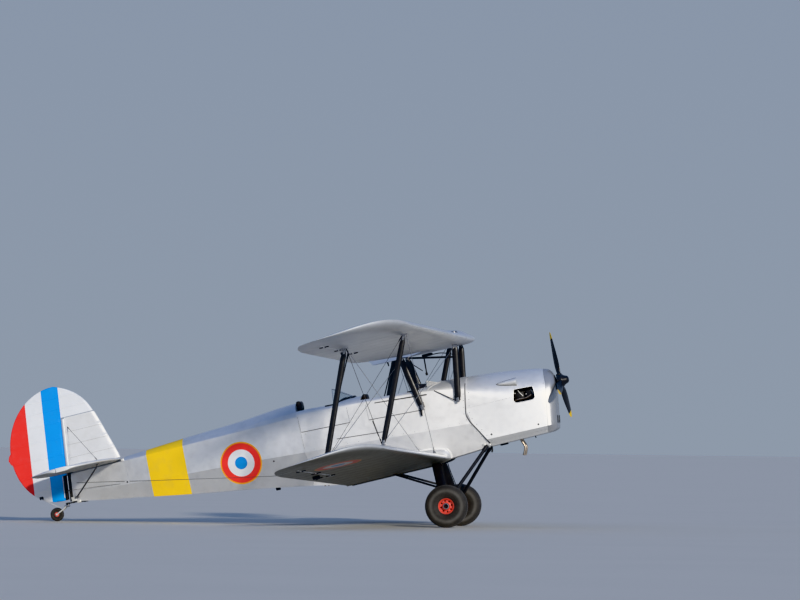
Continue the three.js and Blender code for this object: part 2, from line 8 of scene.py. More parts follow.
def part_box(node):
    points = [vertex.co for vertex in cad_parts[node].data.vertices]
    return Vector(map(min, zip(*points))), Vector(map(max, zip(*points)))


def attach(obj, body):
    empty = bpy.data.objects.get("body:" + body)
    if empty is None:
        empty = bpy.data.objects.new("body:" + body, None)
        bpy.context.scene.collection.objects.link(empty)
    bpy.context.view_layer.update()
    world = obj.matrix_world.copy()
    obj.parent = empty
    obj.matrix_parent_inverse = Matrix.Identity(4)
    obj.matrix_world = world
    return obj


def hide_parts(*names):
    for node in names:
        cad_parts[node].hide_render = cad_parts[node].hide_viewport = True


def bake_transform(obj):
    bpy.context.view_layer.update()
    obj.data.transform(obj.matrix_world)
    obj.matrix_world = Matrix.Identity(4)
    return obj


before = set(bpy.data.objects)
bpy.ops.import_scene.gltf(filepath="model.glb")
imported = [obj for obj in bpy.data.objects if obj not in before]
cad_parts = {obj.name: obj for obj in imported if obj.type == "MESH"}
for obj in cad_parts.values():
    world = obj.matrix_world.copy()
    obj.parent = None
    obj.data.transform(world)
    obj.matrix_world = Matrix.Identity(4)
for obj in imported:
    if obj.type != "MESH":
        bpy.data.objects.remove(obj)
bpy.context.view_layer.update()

# The airframe is modelled in flying attitude: along from the main axle, out to the left, up. Metres.
parkedAngle = radians(14.2)
tyreLow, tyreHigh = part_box("tyre_right")
axle = Vector(((tyreLow.x + tyreHigh.x) / 2, 0, (tyreLow.z + tyreHigh.z) / 2))
levelToRow = Matrix.Translation(axle) @ Matrix.Rotation(-parkedAngle, 4, "Y")


# Camera and light
view = {"place": (9.734, -79.63, 1.142), "aim": (-0.104468, 0.99457, 0.020606), "lean": radians(0.7),
        "lens": 291.6, "sensor": 36.0}
eye = bpy.data.cameras.new("eye")
eye.lens, eye.sensor_width, eye.clip_start, eye.clip_end = view["lens"], view["sensor"], 1.0, 600.0
camera = bpy.data.objects.new("camera", eye)
bpy.context.scene.collection.objects.link(camera)
camera.matrix_world = (Matrix.Translation(view["place"])
    @ Vector(view["aim"]).to_track_quat("-Z", "Y").to_matrix().to_4x4()
    @ Matrix.Rotation(view["lean"], 4, "Z"))
bpy.context.scene.camera = camera

light = {"sunFrom": (0.44, -0.85, 0.31), "sunPower": 2.35, "sunColor": (1, 0.935, 0.83), "sunSpread": 4,
         "skyPower": 0.44, "skyTop": (0.34, 0.52, 0.95, 1), "skyLow": (0.7, 0.82, 1.0, 1),
         "floor": (0.74, 0.715, 0.65, 1), "floorRadius": 320}
sunLamp = bpy.data.lights.new("sun", "SUN")
sunLamp.energy, sunLamp.color = light["sunPower"], light["sunColor"]
sunLamp.angle = radians(light["sunSpread"])
sun = bpy.data.objects.new("sun", sunLamp)
bpy.context.scene.collection.objects.link(sun)
sun.rotation_mode = "QUATERNION"
sun.rotation_quaternion = Vector(light["sunFrom"]).to_track_quat("Z", "Y")
bpy.context.scene.view_settings.view_transform = "Khronos PBR Neutral"  # keeps the markings' full colour


# Materials
def startMaterial(name, rough, metal=0.0, **sockets):
    made = bpy.data.materials.new(name)
    made.use_nodes = True
    shader = made.node_tree.nodes["Principled BSDF"]
    shader.inputs["Roughness"].default_value = rough
    shader.inputs["Metallic"].default_value = metal
    for socket, value in sockets.items():
        shader.inputs[socket.replace("_", " ")].default_value = value
    return made


def feed(made, value, socket):
    if isinstance(value, bpy.types.NodeSocket):
        made.node_tree.links.new(value, socket)
    elif value is not None:
        socket.default_value = value


def node(made, kind, values=(), **settings):
    new = made.node_tree.nodes.new("ShaderNode" + kind)
    for key, value in settings.items():
        setattr(new, key, value)
    for i, value in enumerate(values):
        feed(made, value, new.inputs[i])
    return new


def calc(made, operation, *values):
    return node(made, "Math", values, operation=operation).outputs[0]


def mixed(made, share, first, second, blend="MIX"):
    new = node(made, "Mix", data_type="RGBA", blend_type=blend)
    for i, value in ((0, share), (6, first), (7, second)):
        feed(made, value, new.inputs[i])
    return new.outputs[2]


def objectSpace(made):
    return node(made, "TexCoord").outputs["Object"]


# Object coordinates turned into the airframe's own: along, out, up
def levelSpace(made):
    turned = node(made, "Mapping", (objectSpace(made), tuple(axle), (0, -parkedAngle, 0)),
        vector_type="TEXTURE")
    return node(made, "SeparateXYZ", (turned.outputs[0],)).outputs


def speckle(made, scale, detail=3.0, stretch=(1, 1, 1)):
    where = node(made, "Mapping", (objectSpace(made), (0, 0, 0), (0, 0, 0), stretch)).outputs[0]
    return node(made, "TexNoise", (where, None, scale, detail)).outputs[0]


def between(made, value, low, high, fromLow=0.3, fromHigh=0.7):
    return node(made, "MapRange", (value, fromLow, fromHigh, low, high)).outputs[0]


# How far from an axis, by two distances across it
def reachOf(made, first, second):
    squares = [calc(made, "POWER", one, 2.0) for one in (first, second)]
    return calc(made, "SQRT", calc(made, "ADD", *squares))


# Colour mottle, uneven gloss and a bumped grain, which every finish here starts from
def surface(made, color, mottle=0.05, mottleScale=2.5, gloss=0.06, grain=0.0, grainScale=400, stain=None,
        stainShare=0.25, waves=0.0, wavesScale=3.0):
    shader = made.node_tree.nodes["Principled BSDF"]
    cloud = speckle(made, mottleScale)
    shade = between(made, cloud, 1 - mottle, 1 + mottle)
    tone = node(made, "CombineColor", (shade, shade, shade)).outputs[0]
    final = mixed(made, 1.0, color, tone, "MULTIPLY")
    if stain:
        share = between(made, speckle(made, mottleScale * 5, 6.0), 0, stainShare, 0.5, 0.78)
        final = mixed(made, share, final, stain)
    feed(made, final, shader.inputs["Base Color"])
    rough = shader.inputs["Roughness"].default_value
    feed(made, between(made, speckle(made, mottleScale * 8, 4.0), rough - gloss, rough + gloss),
        shader.inputs["Roughness"])
    heights = []
    if grain:
        heights.append((speckle(made, grainScale, 2.0), grain, 0.001))
    if waves:
        heights.append((speckle(made, wavesScale, 1.0), waves, 0.02))
    normal = None
    for height, strength, distance in heights:
        lump = node(made, "Bump")
        lump.inputs["Strength"].default_value = strength
        lump.inputs["Distance"].default_value = distance
        feed(made, height, lump.inputs["Height"])
        feed(made, normal, lump.inputs["Normal"])
        normal = lump.outputs[0]
    feed(made, normal, shader.inputs["Normal"])
    return made


colors = {"silver": (0.86, 0.865, 0.87, 1), "pale": (0.8, 0.8, 0.79, 1), "yellow": (1.0, 0.67, 0.03, 1),
    "bladeTip": (0.95, 0.62, 0.004, 1), "red": (0.95, 0.07, 0.058, 1), "white": (0.84, 0.85, 0.86, 1),
    "blue": (0.002, 0.34, 0.9, 1), "roundelBlue": (0.012, 0.28, 0.74, 1), "amber": (1.0, 0.46, 0.03, 1),
    # The dull colour for what faces down is painted shade
    "black": (0.012, 0.012, 0.014, 1), "underShade": (0.2, 0.195, 0.17, 1), "soot": (0.05, 0.045, 0.04, 1),
    # The pale rubber tone is a painted highlight on the tyres' sidewalls
    "rubber": (0.045, 0.043, 0.041, 1), "paintedSheen": (0.105, 0.102, 0.096, 1),
    "rimRed": (0.85, 0.13, 0.1, 1), "leather": (0.028, 0.022, 0.018, 1), "steel": (0.42, 0.42, 0.43, 1)}


# Rings of paint round a place, and the share of the surface that they cover
def ringPaint(made, base, first, second, rings):
    reach = reachOf(made, first, second)
    for radius, color in rings:
        base = mixed(made, calc(made, "LESS_THAN", reach, radius), base, colors[color])
    return base, calc(made, "LESS_THAN", reach, rings[0][0])


# Silver dope is metallic, the markings painted over it are not
def metalAround(made, painted, metal):
    feed(made, between(made, painted, metal, 0.0, 0.0, 1.0),
        made.node_tree.nodes["Principled BSDF"].inputs["Metallic"])


def normalUp(made):
    return node(made, "SeparateXYZ", (node(made, "NewGeometry").outputs["Normal"],)).outputs[2]


# Painted shade: what faces the ground is darkened towards a dull colour, standing in for the shade under
# the aircraft
def paintedShadeBelow(made, base, most, start=-0.08, full=-0.75):
    return mixed(made, between(made, normalUp(made), 0.0, most, start, full), base, colors["underShade"])


roundel = {"along": -2.41, "up": 1.118,
           "rings": ((0.262, "amber"), (0.246, "red"), (0.167, "white"), (0.077, "roundelBlue"))}
band = {"front": (-3.11, 0.89, 0.047), "back": (-3.585, 0.97, 0.048)}  # along, up, lean of each edge
wingRoundel = {"out": 3.25, "share": 0.5, "size": 1.1}  # size against the fuselage's


def bodyPaint():
    made = startMaterial("fuselage_doped_fabric", 0.5, 0.7, Specular_IOR_Level=0.35)
    along, out, up = levelSpace(made)
    # Painted shade darkens what faces down
    silver = paintedShadeBelow(made, colors["silver"], 0.9)
    base, ringed = ringPaint(made, silver, calc(made, "SUBTRACT", along, roundel["along"]),
        calc(made, "SUBTRACT", up, roundel["up"]), roundel["rings"])
    edges = []
    for key in ("front", "back"):
        start, level, lean = band[key]
        place = calc(made, "ADD", calc(made, "MULTIPLY", calc(made, "SUBTRACT", up, level), lean), start)
        edges.append(calc(made, "GREATER_THAN" if key == "back" else "LESS_THAN", along, place))
    banded = calc(made, "MULTIPLY", *edges)
    metalAround(made, calc(made, "MAXIMUM", ringed, banded), 0.8)
    base = mixed(made, banded, base, colors["yellow"])
    return surface(made, base, 0.05, 2.0, 0.05, 0.12, 900, (0.3, 0.29, 0.27, 1), 0.14, 0.25, 2.2)


def wingPaint(root, top):
    made = startMaterial("wing_doped_fabric_" + ("upper" if top else "lower"), 0.46, 0.6,
        Specular_IOR_Level=0.35)
    along, out, up = levelSpace(made)
    middle = wingRoundel["out"]
    centre = root["along"] - sweep * (middle - root["out"]) - wingRoundel["share"] * chord
    line = calc(made, "SUBTRACT", along, centre)
    away = calc(made, "SUBTRACT", calc(made, "ABSOLUTE", out), middle)
    rings = [(radius * wingRoundel["size"], color) for radius, color in roundel["rings"]]
    # Painted shade darkens the undersides, most under the lower wing, and dulls the roundel there too
    silver = paintedShadeBelow(made, colors["silver"], 0.35 if top else 0.95, -0.2, -0.8)
    marked, ringed = ringPaint(made, silver, line, away, rings)
    if not top:
        marked = paintedShadeBelow(made, marked, 0.55, -0.2, -0.8)
    side = calc(made, "GREATER_THAN" if top else "LESS_THAN", normalUp(made), 0.3 if top else -0.3)
    metalAround(made, calc(made, "MULTIPLY", ringed, side), 0.7)
    base = mixed(made, side, silver, marked)
    return surface(made, base, 0.05, 1.6, 0.05, 0.12, 900, (0.3, 0.29, 0.26, 1), 0.14, 0.2, 2.6)


stripes = {"blue": 0.218, "white": 0.437, "gap": 0.05, "gapTop": 1.49}  # ends aft of the hinge, gap's top
rudderHinge = {"along": -4.589, "up": 1.571, "rake": 0.123}


def hingeAt(up):
    return rudderHinge["along"] - rudderHinge["rake"] * (rudderHinge["up"] - up)


def rudderPaint():
    made = startMaterial("rudder_painted_fabric", 0.5, Specular_IOR_Level=0.25)
    along, out, up = levelSpace(made)
    lean = calc(made, "MULTIPLY", calc(made, "SUBTRACT", up, rudderHinge["up"]), rudderHinge["rake"])
    aft = calc(made, "SUBTRACT", calc(made, "ADD", lean, rudderHinge["along"]), along)
    base = colors["white"]
    for low, color in ((0.0, "blue"), (stripes["blue"], "white"), (stripes["white"], "red")):
        base = mixed(made, calc(made, "GREATER_THAN", aft, low), base, colors[color])
    # Painted shade: the rudder's front below the tailplane is black, standing in for the dark gap there
    gap = calc(made, "MULTIPLY", calc(made, "LESS_THAN", aft, stripes["gap"]),
               calc(made, "LESS_THAN", up, stripes["gapTop"]))
    base = mixed(made, gap, base, colors["black"])
    return surface(made, base, 0.03, 3.0, 0.05, 0.1, 900, (0.45, 0.44, 0.42, 1), 0.06, 0.15, 3.5)


bladeMarks = {"axis": 1.187, "tip": 0.548}  # the propeller's height, the yellow's start


def bladePaint():
    made = startMaterial("propeller_black_and_yellow", 0.34, 0.0, Coat_Weight=0.25, Coat_Roughness=0.15)
    along, out, up = levelSpace(made)
    reach = reachOf(made, calc(made, "SUBTRACT", up, bladeMarks["axis"]), out)
    tip = calc(made, "GREATER_THAN", reach, bladeMarks["tip"])
    base = mixed(made, tip, colors["black"], colors["bladeTip"])
    return surface(made, base, 0.05, 6.0, 0.05, 0.05, 300, (0.1, 0.09, 0.08, 1), 0.2)


sheenRing = {"starts": 0.16, "full": 0.185, "fades": 0.195, "ends": 0.22}  # radii on the tyre


# A paler ring on the sidewall is a painted highlight, the sheen where the sidewall bulges
def tyrePaint():
    made = startMaterial("tyre_rubber", 0.72, Sheen_Weight=0.15)
    along, out, up = levelSpace(made)
    reach = reachOf(made, along, up)
    paintedSheen = calc(made, "MINIMUM", between(made, reach, 0.0, 1.0, sheenRing["starts"], sheenRing["full"]),
        between(made, reach, 1.0, 0.0, sheenRing["fades"], sheenRing["ends"]))
    base = mixed(made, paintedSheen, colors["rubber"], colors["paintedSheen"])
    return surface(made, base, 0.2, 9.0, 0.08, 0.5, 500, (0.11, 0.1, 0.085, 1), 0.35)


def plain(name, rough, color, *details, metal=0.0, **sockets):
    return surface(startMaterial(name, rough, metal, **sockets), color, *details)


# Metallic silver, darkened by painted shade where it faces down
def silverPaint(name, rough, color, underShade, *details):
    made = startMaterial(name, rough, 0.65, Coat_Weight=0.12, Coat_Roughness=0.2)
    return surface(made, paintedShadeBelow(made, color, underShade, -0.3, -0.9), *details)


tailPale = startMaterial("tail_pale_fabric", 0.42, 0.12)
cowlWear = (0.03, 1.8, 0.035, 0.0, 250, (0.4, 0.39, 0.37, 1), 0.1, 0.16, 2.0)
# After each colour: mottle, its scale, uneven gloss, grain, its scale, stain, its share, waves, their scale
finish = {
    "cowl": silverPaint("cowl_silver_paint", 0.46, (0.93, 0.925, 0.91, 1), 0.45, *cowlWear),
    "panel": silverPaint("panel_silver_paint", 0.5, (0.9, 0.895, 0.885, 1), 0.5, 0.045, 2.0, 0.05, 0.06,
        500, (0.32, 0.31, 0.29, 1), 0.14, 0.22, 2.2),
    "inside": plain("cockpit_inside_primer", 0.6, (0.25, 0.265, 0.25, 1), 0.06, 3.0, 0.05, 0.08, 400,
        (0.1, 0.1, 0.09, 1), 0.25),
    "body": bodyPaint(),
    "rudder": rudderPaint(),
    "blade": bladePaint(),
    # The tail's pale fabric is darkened by painted shade where it faces down
    "pale": surface(tailPale, paintedShadeBelow(tailPale, colors["pale"], 0.8, -0.25, -0.85), 0.04, 2.4, 0.05,
        0.12, 900, (0.42, 0.41, 0.38, 1), 0.12, 0.18, 3.0),
    "white": plain("white_fillet_paint", 0.3, (0.88, 0.88, 0.87, 1), 0.02, 4.0, Coat_Weight=0.4),
    "black": plain("strut_black_enamel", 0.4, colors["black"], 0.15, 5.0, 0.06, 0.06, 200,
        (0.09, 0.085, 0.08, 1), 0.25, Coat_Weight=0.25, Coat_Roughness=0.3),
    # Dull black is real paint on most parts and painted shade on the nose's intake lips and shaft ring
    "dull": plain("dull_black_paint_and_shade", 0.6, (0.02, 0.02, 0.021, 1), 0.2, 12.0, 0.1, 0.3, 700),
    "dark": plain("bay_shadow_paint", 0.8, (0.035, 0.035, 0.034, 1), 0.2, 8.0, 0.1, 0.2, 400),
    # Seam grey marks real joints and is painted shade on the cowl's rear edge and the lower stringer
    "seam": plain("seam_and_shade_grey", 0.55, (0.13, 0.13, 0.135, 1), 0.1, 9.0, 0.1, 0.2, 500, metal=0.3),
    "steel": plain("polished_steel", 0.24, colors["steel"], 0.1, 20.0, 0.06, 0.08, 600, metal=0.95),
    "bright": plain("light_grey_fittings", 0.4, (0.72, 0.72, 0.7, 1), 0.06, 20.0, 0.06, 0.1, 500,
        metal=0.3),
    "cast": plain("cast_grey_alloy", 0.5, (0.05, 0.05, 0.052, 1), 0.15, 12.0, 0.1, 0.6, 350,
        colors["soot"], 0.5, metal=0.75),
    "tinted": plain("exhaust_heat_tinted_steel", 0.36, (0.52, 0.44, 0.36, 1), 0.2, 14.0, 0.1, 0.2, 400,
        colors["soot"], 0.35, metal=0.9),
    "rubber": tyrePaint(),
    "rim": plain("rim_red_paint", 0.36, colors["rimRed"], 0.08, 12.0, 0.06, 0.06, 300,
        (0.09, 0.05, 0.04, 1), 0.35, Coat_Weight=0.3),
    # The bowl's silver is darker than the cowl's: painted shade for its face, which turns forward from the
    # light
    "bowl": silverPaint("bowl_silver_painted_shade", 0.38, (0.53, 0.535, 0.545, 1), 0.45, *cowlWear),
    "leather": plain("seat_leather", 0.5, colors["leather"], 0.2, 10.0, 0.08, 0.55, 260,
        (0.055, 0.042, 0.034, 1), 0.3, Coat_Weight=0.1, Coat_Roughness=0.4),
    "webbing": plain("harness_webbing", 0.8, (0.1, 0.105, 0.095, 1), 0.06, 30, 0.05, 0.5, 700,
        Sheen_Weight=0.3),
    "wood": plain("varnished_ply", 0.35, (0.3, 0.16, 0.065, 1), 0.25, 9.0, 0.05, 0.15, 300,
        (0.16, 0.075, 0.03, 1), 0.5, Coat_Weight=0.5),
    "dial": plain("dial_face", 0.4, (0.78, 0.78, 0.72, 1), 0.02, 30.0),
    "clear": plain("windshield_clear", 0.04, (0.93, 0.965, 0.97, 1), 0.02, 6.0, 0.015, 0.0, 1,
        (0.75, 0.76, 0.74, 1), 0.12, Transmission_Weight=0.94, IOR=1.47),
    # The front pane's pale, half-clear look is a painted reflection, standing in for the glare on it
    "frosted": plain("windshield_front_painted_glare", 0.22, (0.92, 0.92, 0.91, 1), 0.03, 6.0, 0.03, 0.0, 1,
        (0.8, 0.8, 0.78, 1), 0.2, Transmission_Weight=0.45, IOR=1.45),
    "tab": plain("trim_tab_red", 0.4, colors["red"], 0.04, 9)}
print("materials made")


# Making and placing meshes
# A builder gets a new mesh and fills it; a sided one fills it for both sides
def builder(fill):
    def build(*given):
        bm = bmesh.new()
        fill(bm, *given)
        return bm
    return build


def sidedBuilder(fill):
    @builder
    def build(bm, *given):
        for side in (-1, 1):
            fill(bm, side, *given)
    return build


# A grid whose corners are moved to place(share around, share along), its seam and poles merged
def wrap(columns, rows, place, closeEnds=True):
    bm = bmesh.new()
    bmesh.ops.create_grid(bm, x_segments=columns, y_segments=rows, size=1)
    for v in bm.verts:
        v.co = place((v.co.x + 1) / 2, (v.co.y + 1) / 2)
    bmesh.ops.remove_doubles(bm, verts=bm.verts, dist=1e-6)
    if closeEnds:
        bmesh.ops.holes_fill(bm, edges=[e for e in bm.edges if e.is_boundary], sides=0)
    return bm


def join(bm, part, matrix=Matrix.Identity(4)):
    bmesh.ops.transform(part, matrix=matrix, verts=part.verts)
    carrier = bpy.data.meshes.new("carrier")
    part.to_mesh(carrier)
    part.free()
    bm.from_mesh(carrier)
    bpy.data.meshes.remove(carrier)
    return bm


def inScene(bm, name):
    mesh = bpy.data.meshes.new(name)
    bm.to_mesh(mesh)
    bm.free()
    made = bpy.data.objects.new(name, mesh)
    bpy.context.scene.collection.objects.link(made)
    return made


def smoothed(mesh, sharp):
    mesh.shade_smooth()
    mesh.set_sharp_from_angle(angle=radians(sharp))


def flipped(bm):
    bmesh.ops.scale(bm, vec=(1, -1, 1), verts=bm.verts)
    return bm


def shifted(bm, along, up):
    bmesh.ops.translate(bm, verts=bm.verts, vec=(along, 0, up))
    return bm


def put(bm, name, slot, material, replaced=(), mirrored=False, sharp=32, recalculate=True,
        body="airframe"):
    if mirrored:
        flipped(bm)
    bmesh.ops.transform(bm, matrix=levelToRow, verts=bm.verts)
    bmesh.ops.remove_doubles(bm, verts=bm.verts, dist=1e-5)
    if recalculate:
        bmesh.ops.recalc_face_normals(bm, faces=bm.faces)
    piece = inScene(bm, name)
    smoothed(piece.data, sharp)
    for one in material if isinstance(material, tuple) else (material,):
        piece.data.materials.append(finish[one])
    if body:
        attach(piece, body)
    if replaced:
        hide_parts(*replaced)
    return piece


hands = ((-1, "right"), (1, "left"))


# A piece for each hand; build makes the right one
def bothSides(build, name, slot, material, replaced=(), body="airframe", **options):
    for side, hand in hands:
        nodes = [one.format(hand=hand) for one in replaced]
        put(build(), name + "_" + hand, slot, material, nodes, side > 0, body=body.format(hand=hand),
            **options)


def facing(start, end):
    return (Vector(end) - Vector(start)).to_track_quat("Z", "Y").to_matrix().to_4x4()


def rod(bm, start, end, radius, endRadius=None, sides=14):
    start, end = Vector(start), Vector(end)
    bmesh.ops.create_cone(bm, cap_ends=True, segments=sides, radius1=radius,
        radius2=radius if endRadius is None else endRadius, depth=(end - start).length,
        matrix=Matrix.Translation((start + end) / 2) @ facing(start, end))
    return bm


# A rod that lies across the aircraft at a place
def pin(bm, place, low, high, radius, sides=10):
    return rod(bm, place + Vector((0, low, 0)), place + Vector((0, high, 0)), radius, sides=sides)


def ball(bm, centre, radius, segments=16):
    bmesh.ops.create_uvsphere(bm, u_segments=segments, v_segments=segments // 2, radius=radius,
        matrix=Matrix.Translation(centre))
    return bm


def block(bm, low, high, round=0.0, segments=2, matrix=Matrix.Identity(4), at=(0, 0, 0)):
    low, high = Vector(at) + Vector(low), Vector(at) + Vector(high)
    size = high - low
    made = bmesh.ops.create_cube(bm, size=1, matrix=matrix @ Matrix.Translation((low + high) / 2)
        @ Matrix.Diagonal((*size, 1)))
    if round:
        edges = list({e for v in made["verts"] for e in v.link_edges})
        bmesh.ops.bevel(bm, geom=edges, offset=round, segments=segments, profile=0.5, affect="EDGES",
            material=-1)
    return bm


# A closed profile of (radius, height) spun round Z, then aimed from start along direction
def turned(bm, profile, start=(0, 0, 0), direction=(0, 0, 1), steps=40):
    part = bmesh.new()
    points = [part.verts.new((r, 0, h)) for r, h in profile]
    edges = [part.edges.new(pair) for pair in zip(points, points[1:] + points[:1])]
    bmesh.ops.spin(part, geom=points + edges, cent=(0, 0, 0), axis=(0, 0, 1), dvec=(0, 0, 0), angle=tau,
        steps=steps, use_merge=True, use_duplicate=False)
    bmesh.ops.remove_doubles(part, verts=part.verts, dist=1e-6)
    bmesh.ops.recalc_face_normals(part, faces=part.faces)
    return join(bm, part, Matrix.Translation(start) @ facing((0, 0, 0), direction))


# A profile of one half, with its mirror image after it
def bothHalves(half):
    return half + [(r, -y) for r, y in reversed(half[:-1])]


# Places evenly round a circle
def circle(count, radius, first=0.0):
    turns = [tau * (k + first) / count for k in range(count)]
    return [(cos(turn) * radius, sin(turn) * radius) for turn in turns]


def clamped(value):
    return min(1.0, max(0.0, value))


# From 0 to 1 between low and high, gently at both ends
def stepUp(low, high, x):
    t = clamped((x - low) / (high - low))
    return t * t * (3 - 2 * t)


def hermite(a, b, leave, arrive, t):
    return (a * (2 * t ** 3 - 3 * t ** 2 + 1) + b * (3 * t ** 2 - 2 * t ** 3)
            + leave * (t ** 3 - 2 * t ** 2 + t) + arrive * (t ** 3 - t ** 2))


# The item of a list at a share of its length, and the turn of a ring's corner
def stepped(items, share):
    return items[round(share * (len(items) - 1))]


def ringTurn(around, sides):
    return tau * (round(around * sides) % sides) / sides


# The way that a path runs at its point i
def wayAt(path, i):
    return (path[min(i + 1, len(path) - 1)] - path[max(i - 1, 0)]).normalized()


# A path through points, with each stretch between two of them cut in steps
def smoothPath(points, steps):
    points = [Vector(p) for p in points]
    path = []
    for i, (a, b) in enumerate(zip(points, points[1:])):
        before, after = points[max(i - 1, 0)], points[min(i + 2, len(points) - 1)]
        path += [hermite(a, b, (b - before) * 0.5, (after - a) * 0.5, k / steps) for k in range(steps)]
    return path + [points[-1]]


# A round tube along points, smoothed between them
def tube(bm, points, radius, sides=10, steps=6, endRadius=None):
    path = smoothPath(points, steps)
    ways = [wayAt(path, i) for i in range(len(path))]
    normal = ways[0].orthogonal().normalized()
    frames = []
    for at, way in zip(path, ways):
        normal = (normal - way * normal.dot(way)).normalized()
        frames.append((at, normal.copy(), way.cross(normal)))

    def place(around, along):
        at, ahead, aside = stepped(frames, along)
        size = radius if endRadius is None else radius + (endRadius - radius) * along
        turn = ringTurn(around, sides)
        return at + (ahead * cos(turn) + aside * sin(turn)) * size
    return join(bm, wrap(sides, len(path) - 1, place))


# A flat strap along points; across is the way that its width lies
def strap(bm, points, width, thick, across=(0, 1, 0), steps=6):
    path, across = smoothPath(points, steps), Vector(across).normalized()
    last = len(path) - 1

    def place(around, along):
        i = round(along * last)
        up = wayAt(path, i).cross(across).normalized()
        wide, high = ((-1, -1), (1, -1), (1, 1), (-1, 1))[round(around * 4) % 4]
        return path[i] + across * wide * width / 2 + up * high * thick / 2
    return join(bm, wrap(4, last, place))


# The two-dimensional closed outline, extruded between two places out
def plate(bm, outline, low, high, matrix=Matrix.Identity(4), round=0.0):
    part = bmesh.new()
    face = part.faces.new([part.verts.new((x, low, z)) for x, z in outline])
    made = bmesh.ops.extrude_face_region(part, geom=[face])
    moved = [v for v in made["geom"] if isinstance(v, bmesh.types.BMVert)]
    bmesh.ops.translate(part, verts=moved, vec=(0, high - low, 0))
    bmesh.ops.recalc_face_normals(part, faces=part.faces)
    if round:
        flat = [e for e in part.edges if abs(e.verts[0].co.y - e.verts[1].co.y) < 1e-6]
        bmesh.ops.bevel(part, geom=flat, offset=round, segments=2, profile=0.5, affect="EDGES",
            material=-1)
    return join(bm, part, matrix)


# A plate centred across a place, with its corners counted from there
def lug(bm, at, corners, half, round=0.001):
    return plate(bm, [(at[0] + x, at[2] + z) for x, z in corners], at[1] - half, at[1] + half,
        round=round)


# The piece's modifiers made part of its mesh
def settle(piece, sharp=30):
    bpy.context.view_layer.update()
    graph = bpy.context.evaluated_depsgraph_get()
    settled = bpy.data.meshes.new_from_object(piece.evaluated_get(graph))
    piece.modifiers.clear()
    piece.data = settled
    smoothed(piece.data, sharp)
    return piece


def cutWith(piece, tool, operation="DIFFERENCE", sharp=30):
    modifier = piece.modifiers.new("cut", "BOOLEAN")
    modifier.object, modifier.operation, modifier.solver = tool, operation, "EXACT"
    settle(piece, sharp)
    bpy.data.objects.remove(tool)
    return piece


def cutter(bm):
    bmesh.ops.transform(bm, matrix=levelToRow, verts=bm.verts)
    bmesh.ops.recalc_face_normals(bm, faces=bm.faces)
    return inScene(bm, "cutter")


# Floor and sky
def floorAndSky():
    bm = bmesh.new()
    bmesh.ops.create_circle(bm, cap_ends=True, segments=64, radius=light["floorRadius"])
    ground = inScene(bm, "floor")
    ground.data.materials.append(plain("floor_matt", 0.85, light["floor"], 0.012, 0.4, 0.03))
    world = bpy.data.worlds.new("sky")
    world.use_nodes = True
    bpy.context.scene.world = world
    backdrop = world.node_tree.nodes["Background"]
    backdrop.inputs["Strength"].default_value = light["skyPower"]
    where = node(world, "TexCoord").outputs["Generated"]
    rise = between(world, node(world, "SeparateXYZ", (where,)).outputs[2], 0, 1, 0.0, 0.6)
    feed(world, mixed(world, rise, light["skyLow"], light["skyTop"]), backdrop.inputs["Color"])


floorAndSky()
print("floor and light placed")


# Fuselage sections: along, top, shoulder, crease (the widest line), bottom, half width, half at the bottom
tailRows = [(-4.6, 1.496, 1.49, 1.3, 1.153, 0.03, 0.022), (-4.1, 1.496, 1.49, 1.22, 1.06, 0.095, 0.07),
    (-3.848, 1.497, 1.49, 1.196, 1.019, 0.124, 0.092)]
bodyRows = [(-3.846, 1.538, 1.49, 1.196, 1.019, 0.124, 0.092),
    (-3.1, 1.588, 1.495, 1.146, 0.889, 0.222, 0.165), (-2.38, 1.625, 1.5, 1.11, 0.776, 0.3, 0.225),
    (-1.6, 1.683, 1.505, 1.058, 0.636, 0.362, 0.27), (-1.216, 1.63, 1.498, 1.035, 0.568, 0.374, 0.28),
    (-0.9, 1.592, 1.488, 1.012, 0.563, 0.376, 0.284), (-0.56, 1.556, 1.466, 0.99, 0.563, 0.376, 0.288),
    (0.06, 1.534, 1.42, 0.95, 0.568, 0.37, 0.29), (0.66, 1.505, 1.3, 0.915, 0.6, 0.352, 0.29)]
cowlRows = [(0.44, 1.513, 1.31, 0.69, 0.598, 0.357, 0.3),
    (0.943, 1.466, 1.12, 0.684, 0.598, 0.345, 0.288), (1.374, 1.405, 1.03, 0.68, 0.6, 0.322, 0.268),
    (1.5, 1.374, 1.01, 0.68, 0.603, 0.301, 0.252)]


# A table's row at any place, with tangents that never overshoot
def rowAt(rows, along):
    along = min(max(along, rows[0][0]), rows[-1][0])
    i = max(k for k in range(len(rows) - 1) if rows[k][0] <= along + 1e-9)
    a, b = rows[i], rows[i + 1]
    span = b[0] - a[0]

    def rise(k, column):
        return (rows[k][column] - rows[k - 1][column]) / (rows[k][0] - rows[k - 1][0])

    def slope(k, column):
        if k in (0, len(rows) - 1):
            return rise(max(k, 1), column)
        one, two = rise(k, column), rise(k + 1, column)
        return 0.0 if one * two <= 0 else 2 * one * two / (one + two)
    t = (along - a[0]) / span
    return [along] + [hermite(a[c], b[c], slope(i, c) * span, slope(i + 1, c) * span, t)
        for c in range(1, 7)]


deckSteps, sideSteps, bellySteps = 28, 5, 4
ringCount = deckSteps + 4 * sideSteps + bellySteps
crisp = {"from": -2.0, "to": -2.7, "most": 0.44}  # the deck leaves the sides at an edge along the tail
sideLimits = {"low": 0.575, "high": 1.4}


def deckPower(along):
    return 0.5 + crisp["most"] * stepUp(crisp["from"], crisp["to"], along)


